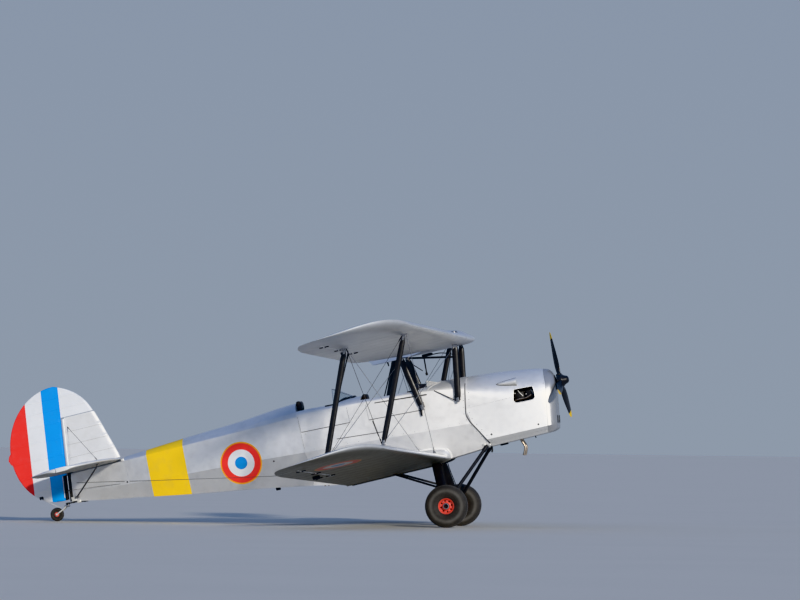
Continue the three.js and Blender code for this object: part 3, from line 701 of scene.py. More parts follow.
# Out and up of ring corner k, counted from the right bottom corner under the belly and up the left side
def ringPoint(row, k, inset=0.0, stringers=0):
    along, top, shoulder, crease, bottom, half, low = row
    half, low = max(half - inset, 0.004), max(low - inset, 0.003)
    bottom, top = bottom + inset, top - inset
    k = k % ringCount
    if k <= bellySteps:
        return -low + 2 * low * k / bellySteps, bottom
    k -= bellySteps
    if k <= sideSteps:
        s = k / sideSteps
        return low + (half - low) * s, bottom + (crease - bottom) * s
    k -= sideSteps
    if k <= sideSteps:
        return half, crease + (shoulder - crease) * k / sideSteps
    k -= sideSteps
    if k <= deckSteps:
        turn = pi * k / deckSteps
        sag = 1 - (0.012 * sin(stringers * turn) ** 2 if stringers else 0)
        lift = (sin(turn) ** 2) ** deckPower(along) if 0 < k < deckSteps else 0
        return half * cos(turn) * sag, shoulder + (top - shoulder) * lift * sag
    k -= deckSteps
    if k <= sideSteps:
        return -half, shoulder + (crease - shoulder) * k / sideSteps
    s = (k - sideSteps) / sideSteps
    return -half + (half - low) * s, crease + (bottom - crease) * s


# How far out the skin is at a place along and up
def skinOut(rows, along, up):
    _, top, shoulder, crease, bottom, half, low = rowAt(rows, along)
    if up < crease:
        return low + (half - low) * max(0.0, (up - bottom) / (crease - bottom))
    if up < shoulder:
        return half
    return half * sqrt(1 - clamped((up - shoulder) / (top - shoulder)) ** (1 / deckPower(along)))


# The same on the body's side, with the height kept between the belly and the deck
def sideOut(along, up):
    return skinOut(bodyRows, along, min(max(up, sideLimits["low"]), sideLimits["high"]))


def skinUp(rows, along, out):
    _, top, shoulder, _, _, half, _ = rowAt(rows, along)
    return shoulder + (top - shoulder) * max(0.0, 1 - (out / half) ** 2) ** deckPower(along)


# A tube over the sections; levels are (share along, inset) of its rings, and a loop of them makes a shell
def bodyTube(rows, startAt, endAt, steps, inset=0.0, stringers=0, closeEnds=True, levels=None):
    levels = levels or [(k / steps, inset) for k in range(steps + 1)]

    def place(around, level):
        share, inset = stepped(levels, level)
        k = round(around * ringCount)
        along = startAt(1.0) + (endAt(1.0) - startAt(1.0)) * share
        for _ in range(4):
            _, up = ringPoint(rowAt(rows, along), k, inset, stringers)
            along = startAt(up) + (endAt(up) - startAt(up)) * share
        out, up = ringPoint(rowAt(rows, along), k, inset, stringers)
        return along, out, up
    return wrap(ringCount, len(levels) - 1, place, closeEnds)


def seam(bm, rows, points, radius=0.0016, rise=0.0002, side=-1):
    path = [(along, side * (skinOut(rows, along, up) + rise), up) for along, up in points]
    return tube(bm, path, radius, 6, 5)


def rowOfPoints(a, b, count):
    return [tuple(a[i] + (b[i] - a[i]) * k / (count - 1) for i in range(len(a))) for k in range(count)]


fuselage = {"break": -3.846, "sternGap": 0.048, "bulkhead": -1.6004, "wall": 0.022, "stringer": 0.0035}


def rearFuselage():
    bm = bodyTube(bodyRows, lambda up: fuselage["break"], lambda up: fuselage["bulkhead"], 60,
        stringers=9)
    join(bm, bodyTube(tailRows, lambda up: hingeAt(up) + fuselage["sternGap"],
        lambda up: fuselage["break"] - 0.0005, 14))
    put(bm, "rear_fuselage_skin", "fuselage_fabric", "body", ["rear_fuselage"], sharp=9)
    line = bmesh.new()
    for rows, points in ((bodyRows, rowOfPoints((-3.84, 1.236), (-2.09, 0.872), 9)),
            (tailRows, rowOfPoints((-4.5, 1.366), (-3.852, 1.238), 4))):
        for side in (1, -1):
            seam(line, rows, points, fuselage["stringer"], -0.0015, side)
    put(line, "side_stringers", "fuselage_fabric", "body")


rearFuselage()
print("rear fuselage made")


# The cockpit tub, with its two openings
jointLine = ((1.7, 0.536), (1.49, 0.536), (1.165, 0.47), (1.04, 0.448), (0.949, 0.476), (0.795, 0.565),
    (0.635, 0.654), (0.4, 0.68))
cockpits = {"front": {"back": -0.792, "corner": -0.1, "front": 0.04, "sill": 1.464},
    "rear": {"back": -1.7, "corner": -1.13, "front": -0.985, "sill": 1.53}}
sill = {"slope": 0.089, "half": 0.338}
tubInside = {"back": -1.58, "front": 0.4}


def atJoint(up):
    for (high, a), (low, b) in zip(jointLine, jointLine[1:]):
        if low <= up <= high:
            return b + (a - b) * (up - low) / (high - low)
    return jointLine[-1][1]


# A cockpit opening's outline from above, at a distance inside or outside its edge
def openingPlan(place, grow=0.0, steps=18):
    back, corner, front = (cockpits[place][key] for key in ("back", "corner", "front"))
    half = sill["half"] + grow
    points = [(back - grow - corner, -half)]
    for k in range(steps + 1):
        turn = -pi / 2 + pi * k / steps
        points.append(((front - corner + grow) * cos(turn), half * sin(turn)))
    return points + [(back - grow - corner, half)]


def openingCutter(place):
    bm = bmesh.new()
    base = bm.faces.new([bm.verts.new((x, y, 0)) for x, y in openingPlan(place)])
    raised = bmesh.ops.extrude_face_region(bm, geom=[base])["geom"]
    bmesh.ops.translate(bm, verts=[v for v in raised if isinstance(v, bmesh.types.BMVert)],
        vec=(0, 0, 0.6))
    bmesh.ops.rotate(bm, verts=bm.verts, matrix=Matrix.Rotation(sill["slope"], 3, "Y"))
    bmesh.ops.translate(bm, verts=bm.verts, vec=(cockpits[place]["corner"], 0, cockpits[place]["sill"]))
    return cutter(bm)


def cockpitTub():
    bm = bodyTube(bodyRows, lambda up: fuselage["bulkhead"] + 0.0006, atJoint, 46)
    tub = put(bm, "cockpit_tub", "fuselage_panel", ("panel", "inside"),
              ["cockpit_side_left", "cockpit_side_right", "cockpit_floor", "cockpit_decks"], sharp=9)
    inner = bodyTube(bodyRows, lambda up: tubInside["back"], lambda up: tubInside["front"], 24,
        fuselage["wall"])
    for face in inner.faces:
        face.material_index = 1
    cutWith(tub, cutter(inner))
    for place in cockpits:
        cutWith(tub, openingCutter(place), sharp=9)


cockpitTub()


# Cowl and nose bowl
cowl = {"wall": 0.006, "lip": 0.045, "lipLength": 0.018, "gap": 0.0025, "top": 1.12, "bottom": 0.64,
    "face": 1.474, "rake": 0.167, "thrust": 1.187, "round": 0.106, "intake": 0.735, "steps": 34,
    "sharp": 11}
vent = [(1.079, 1.2), (1.052, 1.085), (1.066, 1.053), (1.1, 1.04), (1.27, 1.035), (1.305, 1.047),
        (1.322, 1.08), (1.316, 1.185), (1.3, 1.198), (1.1, 1.208)]
# Name, lowest, highest, side
cowlPieces = (("cowl_top", cowl["top"] + 0.001, 2.0, 0), ("cowl_bottom", 0.2, cowl["bottom"] - 0.001, 0),
    ("cowl_side_right", cowl["bottom"], cowl["top"], -1),
    ("cowl_side_left", cowl["bottom"], cowl["top"], 1))


def bowlLean(up):
    return cowl["rake"] * max(0.0, cowl["thrust"] - up)


def atBowl(up):
    return cowl["face"] - bowlLean(up)


def cowlSkins():
    steps, wall, lip = cowl["steps"], cowl["wall"], cowl["lip"]
    levels = [(0, lip)] + [(k / steps, 0) for k in range(steps + 1)]
    levels += [(k / steps, wall) for k in range(steps, 0, -1)] + [(cowl["lipLength"], wall),
        (cowl["lipLength"], lip)]
    for name, lowest, highest, side in cowlPieces:
        bm = bodyTube(cowlRows, lambda up: atJoint(up) + cowl["gap"], lambda up: atBowl(up) - 0.001,
            steps, closeEnds=False, levels=levels + levels[:1])
        piece = put(bm, name + "_skin", "cowl_metal", "cowl", [name], sharp=cowl["sharp"])
        span = block(bmesh.new(), (0.2, -1.0 if side <= 0 else 0.0, lowest),
            (1.8, 1.0 if side >= 0 else 0.0, highest))
        cutWith(piece, cutter(span), "INTERSECT", cowl["sharp"])
        if name != "cowl_bottom":
            for way in (side,) if side else (-1, 1):
                hole = plate(bmesh.new(), vent, *sorted((0.2 * way, 0.5 * way)))
                cutWith(piece, cutter(hole), sharp=cowl["sharp"])
        if side:
            edge = [(x, side * (skinOut(cowlRows, x, z) + 0.0005), z) for x, z in vent]
            put(tube(bmesh.new(), edge + edge[:1], 0.004, 8, 4),
                "vent_edge" + ("_right" if side < 0 else "_left"), "cowl_metal", "cowl")


cowlSkins()


bowl = {"start": 1.482, "flat": 1.5882, "swell": 0.002, "centre": 0.98, "last": 1.5, "sharp": 28,
        "shaftHole": 0.056, "intakeHole": 0.042, "intakes": (-0.13, 0.13), "shadeDisc": 1.43,
        "insets": (0.112, 0.038, 0.002, -0.037, 0.087, 0.062)}  # one for each column of the sections
lipProfile = [(0.042, -0.03), (0.0425, 0.002), (0.046, 0.006), (0.051, 0.003), (0.053, -0.004),
    (0.05, -0.03)]
shadeDiscProfile = [(0, 0.004), (0.03, 0.004), (0.034, 0), (0.0405, 0), (0.0405, -0.008), (0, -0.008)]
shaftProfile = [(0.056, -0.02), (0.056, 0.004), (0.06, 0.008), (0.07, 0.0075), (0.084, 0.003),
    (0.098, -0.004), (0.098, -0.02)]


def noseBowl():
    levels = [(cowl["face"] + 0.001, 0, 1), (cowl["face"] + 0.004, 0, 1)]
    for k in range(1, 10):
        turn = pi / 2 * k / 9
        levels.append((bowl["start"] + cowl["round"] * sin(turn), 1 - cos(turn), 1))
    levels += [(bowl["flat"] + bowl["swell"] * (1 - s * s), 1, s)
        for s in (0.93, 0.8, 0.6, 0.4, 0.2, 0.0)]

    def place(around, share):
        base, e, scale = stepped(levels, share)
        up = 1.0
        for _ in range(5):
            row = rowAt(cowlRows, min(base - bowlLean(up), bowl["last"]))
            row = row[:1] + [value - inset * e for value, inset in zip(row[1:], bowl["insets"])]
            out, up = ringPoint(row, round(around * ringCount))
        up = bowl["centre"] + (up - bowl["centre"]) * scale
        return base - bowlLean(up), out * scale, up
    skin = put(wrap(ringCount, len(levels) - 1, place), "nose_bowl_skin", "cowl_metal", "bowl",
               ["nose_bowl"], sharp=bowl["sharp"])
    holes = rod(bmesh.new(), (1.47, 0, cowl["thrust"]), (1.7, 0, cowl["thrust"]), bowl["shaftHole"],
        sides=32)
    for out in bowl["intakes"]:
        rod(holes, (1.4, out, cowl["intake"]), (1.66, out, cowl["intake"]), bowl["intakeHole"], sides=28)
    cutWith(skin, cutter(holes), sharp=bowl["sharp"])
    # The lips and the ring round the shaft are dull black, and discs sit inside the intakes: painted shade
    # of the dark holes
    lips, shadeDiscs = bmesh.new(), bmesh.new()
    for out in bowl["intakes"]:
        turned(lips, lipProfile, (bowl["flat"] - bowlLean(cowl["intake"]), out, cowl["intake"]),
               (1, 0, -cowl["rake"]), 28)
        turned(shadeDiscs, shadeDiscProfile, (bowl["shadeDisc"], out, cowl["intake"]), (1, 0, 0), 24)
    turned(lips, shaftProfile, (bowl["flat"] + 0.0008, 0, cowl["thrust"]), (1, 0, 0))
    put(lips, "intake_lips", "cowl_metal", "dull")
    put(shadeDiscs, "intake_shade_discs", "engine", "dark")


noseBowl()
print("cockpit tub, cowl and bowl made")


# The engine, as far as the cowl's side vents show it
engineParts = {"cylinders": (0.92, 1.125, 1.275), "up": 1.115, "fins": 7, "firstFin": 0.115,
    "finPitch": 0.0155, "barrel": 0.052, "fin": 0.066, "head": 0.222, "lead": 0.006,
    "clips": (1.07, 1.085, 1.215)}


def engine():
    bm = block(bmesh.new(), (0.74, -0.15, 0.86), (1.33, 0.15, 1.2), 0.03)
    block(bm, (0.8, -0.19, 0.74), (1.22, 0.19, 0.88), 0.02)
    barrel, fin = engineParts["barrel"], engineParts["fin"]
    profile = [(0, 0.1), (barrel + 0.003, 0.1)]
    for k in range(engineParts["fins"]):
        rise = engineParts["firstFin"] + engineParts["finPitch"] * k
        profile += [(barrel, rise), (fin, rise + 0.001), (fin, rise + 0.004), (barrel, rise + 0.005)]
    profile += [(barrel, engineParts["head"]), (0.0, engineParts["head"])]
    pipes, leads = bmesh.new(), bmesh.new()
    for side in (-1, 1):
        for along in engineParts["cylinders"]:
            turned(bm, profile, (along, 0, engineParts["up"]), (0, side, 0), 18)
            block(bm, (-0.062, -0.012, 1.068), (0.062, 0.012, 1.168), 0.01, at=(along, side * 0.23, 0))
            tube(bm, [(along, side * 0.2, 1.06), (along - 0.02, side * 0.2, 0.96),
                      (along - 0.05, side * 0.17, 0.82)], 0.02, 10, 4)
        tube(pipes, [(1.275, side * 0.235, 1.1), (1.2, side * 0.25, 1.075), (1.09, side * 0.255, 1.078),
            (0.98, side * 0.25, 1.05)], 0.011, 8, 5)
        for path in ([(1.125, 0.244, 1.19), (1.14, 0.25, 1.155), (1.172, 0.25, 1.105)],
                [(1.282, 0.244, 1.16), (1.296, 0.25, 1.135), (1.304, 0.244, 1.1)]):
            tube(leads, [(x, side * y, z) for x, y, z in path], engineParts["lead"], 8, 4)
        for along in engineParts["clips"]:
            pin(leads, Vector((along, 0, 1.165 - 0.3 * (along - 1.07))), side * 0.236, side * 0.25, 0.007)
    put(bm, "engine_case", "engine", "cast", ["engine_block"])
    put(pipes, "engine_pipes", "engine", "tinted")
    put(leads, "engine_leads", "engine", "bright")


engine()


# Propeller
propeller = {"back": 1.606, "middle": 1.642, "bolts": 6, "boltCircle": 0.066, "turns": (-15, 105, 225)}
hubProfile = [(0, 1.606), (0.06, 1.606), (0.074, 1.61), (0.078, 1.618), (0.078, 1.672), (0.074, 1.68),
    (0.064, 1.686), (0.058, 1.7), (0.052, 1.712), (0.046, 1.73), (0.036, 1.744), (0.02, 1.751),
    (0, 1.752)]
flangeProfile = [(0, 1.54), (0.05, 1.54), (0.052, 1.546), (0.052, 1.552), (0.04, 1.558), (0, 1.558)]
clampProfile = [(0.024, 0.066), (0.036, 0.068), (0.038, 0.074), (0.038, 0.084), (0.034, 0.088),
    (0.024, 0.089)]
# Blade sections: reach, width, thickness, pitch in degrees
bladeRows = [(0.062, 0.05, 0.046, 50), (0.1, 0.054, 0.04, 48), (0.16, 0.08, 0.026, 44),
    (0.23, 0.096, 0.021, 40), (0.3, 0.101, 0.018, 36), (0.38, 0.098, 0.0155, 32),
    (0.46, 0.091, 0.013, 28), (0.53, 0.08, 0.011, 25), (0.59, 0.063, 0.009, 23),
    (0.618, 0.047, 0.0075, 22), (0.633, 0.028, 0.006, 21), (0.64, 0.006, 0.003, 21)]


def blades():
    sides = 24

    def place(around, share):
        reach, width, thick, pitch = stepped(bladeRows, share)
        turn, lean = ringTurn(around, sides), radians(pitch)
        x = cos(turn) * thick / 2 * (1.25 if cos(turn) > 0 else 0.75)
        y = sin(turn) * width / 2
        return (x * cos(lean) - y * sin(lean), x * sin(lean) + y * cos(lean), reach)
    for number, turn in enumerate(propeller["turns"], 1):
        bm = wrap(sides, len(bladeRows) - 1, place)
        bmesh.ops.subdivide_edges(bm,
            edges=[e for e in bm.edges if abs(e.verts[0].co.z - e.verts[1].co.z) > 1e-6], cuts=2,
            smooth=1.0, use_grid_fill=True)
        bmesh.ops.transform(bm, matrix=Matrix.Translation((propeller["middle"], 0, cowl["thrust"]))
            @ Matrix.Rotation(radians(turn), 4, "X"), verts=bm.verts)
        put(bm, f"blade_{number}", "propeller_black", "blade", [f"propeller_blade_{number}"], sharp=50,
            body="propeller")


def hubAndSpinner():
    axis = Vector((0, 0, cowl["thrust"]))
    bm = turned(bmesh.new(), hubProfile, axis, (1, 0, 0))
    rod(bm, (1.36, 0, cowl["thrust"]), (propeller["back"] + 0.004, 0, cowl["thrust"]), 0.036, sides=24)
    turned(bm, flangeProfile, axis, (1, 0, 0), 32)
    put(bm, "hub_body", "propeller_black", "black", ["propeller_hub"], body="propeller")
    bolts = bmesh.new()
    for up, out in circle(propeller["bolts"], propeller["boltCircle"], 0.25):
        at = axis + Vector((1.676, out, up))
        rod(bolts, at, at + Vector((0.014, 0, 0)), 0.0065, sides=6)
        rod(bolts, at, at + Vector((0.0035, 0, 0)), 0.009)
    for turn in propeller["turns"]:
        way = (0, -sin(radians(turn)), cos(radians(turn)))
        turned(bolts, clampProfile, (propeller["middle"], 0, cowl["thrust"]), way, 24)
    put(bolts, "hub_bolts_and_clamps", "propeller_black", "dull", body="propeller")


blades()
hubAndSpinner()
print("engine and propeller made")


# Wings
halfSpan, chord, wingThickness, camber = 4.19, 1.3, 0.115, 0.032
sweep, dihedral, incidence = (tan(radians(a)) for a in (7.2, 4, 2))
tipLength = 0.85
upperRoot = {"along": 0.693, "out": 0.48, "up": 1.96}
lowerRoot = {"along": 0.098, "out": 0.372, "up": 0.59}
aileron = {"from": 2.05, "to": 3.72, "hinge": 0.78, "ridge": 0.042}
cutOut = {"chord": 0.643, "out": 1.2}
strutOut = 2.9
ribPitch = 0.305
tape = {"half": 0.016, "rise": 0.0007, "sag": 0.0019}


def tipShare(out):
    return sqrt(max(0.0, 1 - max(0.0, (out - (halfSpan - tipLength)) / tipLength) ** 2.6))


# A place on the right wing: how far out, share of the chord from the nose, height above the chord line
def wingPlace(root, out, share, height):
    reach = max(0.0, out - root["out"])
    return Vector((root["along"] - sweep * reach - share * chord, -out,
        root["up"] + dihedral * reach - share * chord * incidence + height))


def meanHeight(share, peak=0.4):
    rise = (2 * peak * share - share ** 2) / peak ** 2
    if share >= peak:
        rise = (1 - 2 * peak + 2 * peak * share - share ** 2) / (1 - peak) ** 2
    return camber * chord * rise


def halfThick(share):
    t = (0.2969 * sqrt(share) - 0.126 * share - 0.3516 * share ** 2 + 0.2843 * share ** 3
        - 0.1036 * share ** 4)
    return 5 * wingThickness * chord * t + 0.0025 * share


# Fabric between the ribs draws in and the tapes over them stand proud
def clothRise(out, share):
    cell = (abs(out) / ribPitch + 0.5) % 1.0
    toRib = abs(cell - 0.5) * ribPitch
    rise = (-tape["sag"] * sin(pi * toRib / ribPitch) ** 1.4
        * stepUp(0.13, 0.2, share) * stepUp(1.0, 0.86, share))
    if toRib <= tape["half"] + 1e-6:
        rise = tape["rise"] * stepUp(0.02, 0.05, share)
    return rise * stepUp(halfSpan, halfSpan - 0.35, abs(out))


# The tip's underside sweeps up to meet its top
def foilPoint(root, out, own, top, bay=False):
    f = tipShare(abs(out))
    whole = 1.0
    if bay and abs(out) < cutOut["out"]:
        whole = 1 - (1 - cutOut["chord"] / chord) * (0.5 + 0.5 * cos(pi * abs(out) / cutOut["out"]))
    local = 0.8 * (1 - f) + own * f
    level = (meanHeight(local) + halfThick(local)) * (1 - 0.75 * (1 - f * f))
    full, thick = halfThick(own) * f * f, (halfThick(own) + clothRise(out, own)) * f * f
    return wingPlace(root, abs(out), local * whole, level - full + (thick if top else -thick))


def ribStations(start, end):
    marks = {round(start, 4), round(end, 4)}
    edge, outer = tape["half"], tape["half"] + 0.003
    offsets = [-outer, -edge, edge, outer] + [ribPitch * share for share in (0.2, 0.35, 0.5, 0.65, 0.8)]
    k = int(start // ribPitch)
    while k * ribPitch < end + ribPitch:
        marks |= {round(k * ribPitch + offset, 4) for offset in offsets
            if start < k * ribPitch + offset < end}
        k += 1
    return sorted(marks)


def tipStations():
    made = []
    for k in range(1, 17):
        f = cos(pi / 2 * k / 16)
        made.append(halfSpan - tipLength * (1 - (1 - f * f) ** (1 / 2.6)))
    return made


foilSteps = 26


def wingSolid(root, outs, bay=False, mirror=False):
    def place(around, share):
        out = stepped(outs, share)
        k = round(around * 2 * foilSteps) % (2 * foilSteps)
        own = 0.5 + 0.5 * cos(pi * k / foilSteps)
        p = foilPoint(root, out, own, k <= foilSteps, bay)
        return (p.x, -p.y if (out < 0) != mirror else p.y, p.z)
    return wrap(2 * foilSteps, len(outs) - 1, place)


# The space an aileron takes; its front is a ridge on the hinge line, or upright where the ridge is 0
def aileronCutter(root, ahead, ridge, beside, side):
    ring = [(ahead, 0), (ahead - ridge, 0.09), (-1.5, 0.09), (-1.5, -0.09), (ahead - ridge, -0.09)]

    def place(around, share):
        out = aileron["from"] - beside if share < 0.5 else aileron["to"] + beside
        hinge = wingPlace(root, out, aileron["hinge"], meanHeight(aileron["hinge"]))
        along, up = ring[round(around * 5) % 5]
        return (hinge.x + along, hinge.y * -side, hinge.z + up)
    return cutter(wrap(5, 1, place))


finish["wingUpper"], finish["wingLower"] = wingPaint(upperRoot, True), wingPaint(lowerRoot, False)


def makeWings():
    centre = ribStations(-upperRoot["out"], upperRoot["out"])
    centre = sorted({round(-x, 4) for x in centre} | set(centre))
    put(wingSolid(upperRoot, centre, True), "wing_centre_skin", "wing_fabric", "wingUpper",
        ["upper_wing_centre"], sharp=40)
    for place, root, start in (("upper", upperRoot, upperRoot["out"] + 0.0006),
            ("lower", lowerRoot, 0.27)):
        paint, upper = "wing" + place.capitalize(), place == "upper"
        outs = ribStations(start, halfSpan - tipLength) + tipStations()
        for side, hand in hands:
            wing = put(wingSolid(root, outs, upper, side > 0), f"{place}_panel_{hand}",
                       "wing_fabric", paint, [f"{place}_wing_{hand}"], sharp=40)
            flap = put(wingSolid(root, outs, upper, side > 0), f"{place}_flap_{hand}", "wing_fabric",
                paint, [f"{place}_aileron_{hand}"], sharp=40, body=f"aileron_{place}_{hand}")
            cutWith(wing, aileronCutter(root, 0.006, 0.0, 0.008, side))
            cutWith(flap, aileronCutter(root, 0.0, aileron["ridge"], 0.0, side), "INTERSECT")
            if not upper:
                cutWith(wing, cutter(bodyTube(bodyRows, lambda up: -1.59, lambda up: 0.62, 20)))


makeWings()
print("wings made")


# Wing fittings: root fillets, aileron hinges, horns and the rods between the ailerons
fillet = {"rise": 0.058, "ahead": 0.05, "aft": 0.018, "below": 0.01, "width": 0.095, "strip": 0.012,
          "start": 0.375, "sunk": 0.008}


# The fillet between the lower wing and the fuselage side; share 0 is its edge on the fuselage
def filletPoint(own, top, share):
    fade = (1 - share) ** 2
    lift = fillet["rise"] + (fillet["aft"] - fillet["rise"]) * max(0.0, own - 0.2) / 0.8
    swell = (lift if top else fillet["below"]) * fade * min(1.0, sqrt(own / 0.02)) + 0.0016
    out = fillet["start"] + fillet["width"] * share
    p = wingPlace(lowerRoot, out, own, meanHeight(own) + (halfThick(own) + swell) * (1 if top else -1))
    p.x += fillet["ahead"] * fade * max(0.0, 1 - own / 0.25)
    p.y = -(sideOut(p.x, p.z) - fillet["sunk"] + out - fillet["start"])
    return p


def rootFillet():
    steps = 2 * foilSteps

    def place(around, share):
        k = round(around * steps) % steps
        return filletPoint(0.5 + 0.5 * cos(pi * k / foilSteps), k <= foilSteps, share)
    return wrap(steps, 7, place, closeEnds=False)


# The white strip that covers the fillet's edge
def filletStrip():
    path = []
    for k in range(25):
        p = filletPoint(0.99 * (1 - cos(pi / 2 * k / 24)), True, 0.0)
        path.append((p.x, -sideOut(p.x, p.z) - 0.001, p.z))
    ahead = (path[0][0] - 0.012, path[0][1], path[0][2] - 0.022)
    bm = tube(bmesh.new(), [ahead] + path, fillet["strip"], 10, 2)
    for v in bm.verts:
        skin = -sideOut(v.co.x, v.co.z)
        v.co.y = skin + (v.co.y - skin) * 0.35
    return bm


hingeParts = {"outs": (2.2, 2.885, 3.58), "drop": 0.035}


@builder
def hingeArms(bm, root, moving):
    for out in hingeParts["outs"]:
        at = wingPlace(root, out, aileron["hinge"], meanHeight(aileron["hinge"]) - hingeParts["drop"])
        if moving:
            block(bm, (-0.06, -0.0045, -0.01), (-0.014, 0.0045, 0.01), 0.002, at=at)
        else:
            block(bm, (0.004, -0.006, -0.012), (0.055, 0.006, 0.012), 0.002, at=at)


bothSides(rootFillet, "root_fillet", "wing_fabric", "wingLower", sharp=60)
bothSides(filletStrip, "fillet_strip", "wing_fabric", "white", sharp=60)
for place, root in (("upper", upperRoot), ("lower", lowerRoot)):
    bothSides(lambda: hingeArms(root, False), place + "_hinge_arms", "strut_black", "black")
    bothSides(lambda: hingeArms(root, True), place + "_hinge_plates",
              "strut_black", "black", body="aileron_" + place + "_{hand}")

horn = {"out": 2.52, "reach": 0.1, "aft": 0.03, "half": 0.004}
link = {"radius": 0.0075, "end": 0.0105, "bolt": 0.011, "offset": (0.012, -0.024, 0)}


@builder
def hornPlate(bm, root, up):
    p = wingPlace(root, horn["out"], aileron["hinge"], meanHeight(aileron["hinge"]))
    way = 1 if up else -1
    lug(bm, p, [(-0.05, way * 0.03), (-0.05 - horn["aft"], way * 0.03),
        (-0.062, way * (0.04 + horn["reach"])), (-0.048, way * (0.04 + horn["reach"]))], horn["half"])


def linkRod():
    top = wingPlace(upperRoot, horn["out"], aileron["hinge"], -0.045) + Vector(link["offset"])
    foot = wingPlace(lowerRoot, horn["out"], aileron["hinge"], 0.095) + Vector(link["offset"])
    way = (top - foot).normalized()
    bm = rod(bmesh.new(), foot + way * 0.05, top - way * 0.05, link["radius"], sides=10)
    for end, sign in ((foot, 1), (top, -1)):
        rod(bm, end, end + way * sign * 0.06, link["end"], sides=10)
        pin(bm, end, -0.01, 0.012, link["bolt"], 12)
    return bm


bothSides(lambda: hornPlate(upperRoot, False), "upper_horn", "strut_black", "black",
    body="aileron_upper_{hand}")
bothSides(lambda: hornPlate(lowerRoot, True), "lower_horn", "strut_black", "black",
    body="aileron_lower_{hand}")
bothSides(linkRod, "aileron_link", "steel_wire", "dull")
print("wing fittings made")


# Struts, from stations of (centre, width, thickness)
def streamlined(bm, stations, sides=22):
    def place(around, share):
        centre, width, thick = stepped(stations, share)
        turn = ringTurn(around, sides)
        x = cos(turn)
        return Vector(centre) + Vector((x * width / 2 - 0.06 * width * (1 - x * x),
            sin(turn) * thick / 2 * (1.0 + 0.18 * x), 0))
    return join(bm, wrap(sides, len(stations) - 1, place))


# Share of the length, share of the width, share of the thickness
strutMarks = ((0, 0.5, 0.75), (0.035, 0.62, 0.8), (0.075, 0.93, 1), (0.15, 1, 1), (0.85, 1, 1),
    (0.925, 0.93, 1), (0.965, 0.62, 0.8), (1, 0.5, 0.75))


@builder
def strutBar(bm, foot, top, width=0.074, thick=0.032):
    foot, top = Vector(foot), Vector(top)
    stations = [(foot + (top - foot) * t, width * w, thick * h) for t, w, h in strutMarks]
    streamlined(bm, stations)


def skinUnder(root, out, share, top):
    return wingPlace(root, out, share, meanHeight(share)
        + (halfThick(share) if top else -halfThick(share)))


sparPlaces = {"front": (0.15, 0.15), "rear": (0.72, 0.69)}  # upper wing, lower wing: shares of the chord


def strutEnds(upperShare, lowerShare):
    foot = wingPlace(lowerRoot, strutOut, lowerShare, 0)
    top = wingPlace(upperRoot, strutOut, upperShare, 0)
    way = (top - foot).normalized()
    rise = skinUnder(lowerRoot, strutOut, lowerShare, True).z - foot.z
    drop = top.z - skinUnder(upperRoot, strutOut, upperShare, False).z
    return foot + way * rise / way.z, top - way * drop / way.z


for place, (upperShare, lowerShare) in sparPlaces.items():
    foot, top = strutEnds(upperShare, lowerShare)
    way = (top - foot).normalized()
    bothSides(lambda: strutBar(foot - way * 0.004, top + way * 0.004), f"wing_strut_{place}_bar",
              "strut_black", "black", ["wing_strut_" + place + "_{hand}"])

    def fittings():
        bm = bmesh.new()
        for end, sign in ((foot, 1), (top, -1)):
            block(bm, (-0.045, -0.02, -0.004), (0.045, 0.02, 0.006), 0.003, at=end)
            far = way.x * sign * 0.06
            corners = [(-0.024, -sign * 0.004), (0.024, -sign * 0.004), (0.012 + far, sign * 0.062),
                       (far - 0.012, sign * 0.062)]
            for offset in (-0.013, 0.013):
                lug(bm, end + Vector((0, offset, 0)), corners, 0.0025)
            pin(bm, end + way * sign * 0.045, -0.026, 0.026, 0.006)
        return bm
    bothSides(fittings, f"strut_lugs_{place}", "steel_wire", "steel")

# Along at the top, along at the foot, the foot's height
cabanes = {"front": (0.515, 0.392, 1.224), "rear": (-0.177, -0.058, 1.24)}
cabaneBars = {"out": 0.402, "top": 1.925, "width": 0.078, "thick": 0.032}
for place, (topAlong, footAlong, low) in cabanes.items():
    foot = Vector((footAlong, -cabaneBars["out"], low))
    top = Vector((topAlong, -cabaneBars["out"], cabaneBars["top"]))

    def cabane():
        bm = strutBar(foot, top, cabaneBars["width"], cabaneBars["thick"])
        block(bm, (-0.032, -0.006, 0.012), (0.032, 0.075, 0.08), 0.006, at=foot)
        if place == "rear":
            lug(bm, foot + Vector((0, 0.018, 0)),
                [(-0.035, 0.03), (0.002, 0.04), (-0.018, -0.085), (-0.038, -0.08)], 0.022, 0.002)
        return bm
    bothSides(cabane, f"cabane_{place}_bar", "strut_black", "black",
        ["cabane_strut_" + place + "_{hand}"])

    def cabaneLugs():
        bm = bmesh.new()
        for end in (foot + Vector((0, 0, 0.02)), top + Vector((0, 0, -0.02))):
            pin(bm, end, -0.026, 0.02, 0.008)
            lug(bm, end - Vector((0, 0.02, 0)),
                [(-0.018, -0.03), (0.018, -0.03), (0.018, 0.03), (-0.018, 0.03)], 0.002)
        return bm
    bothSides(cabaneLugs, f"cabane_lugs_{place}", "steel_wire", "steel")
print("struts made")


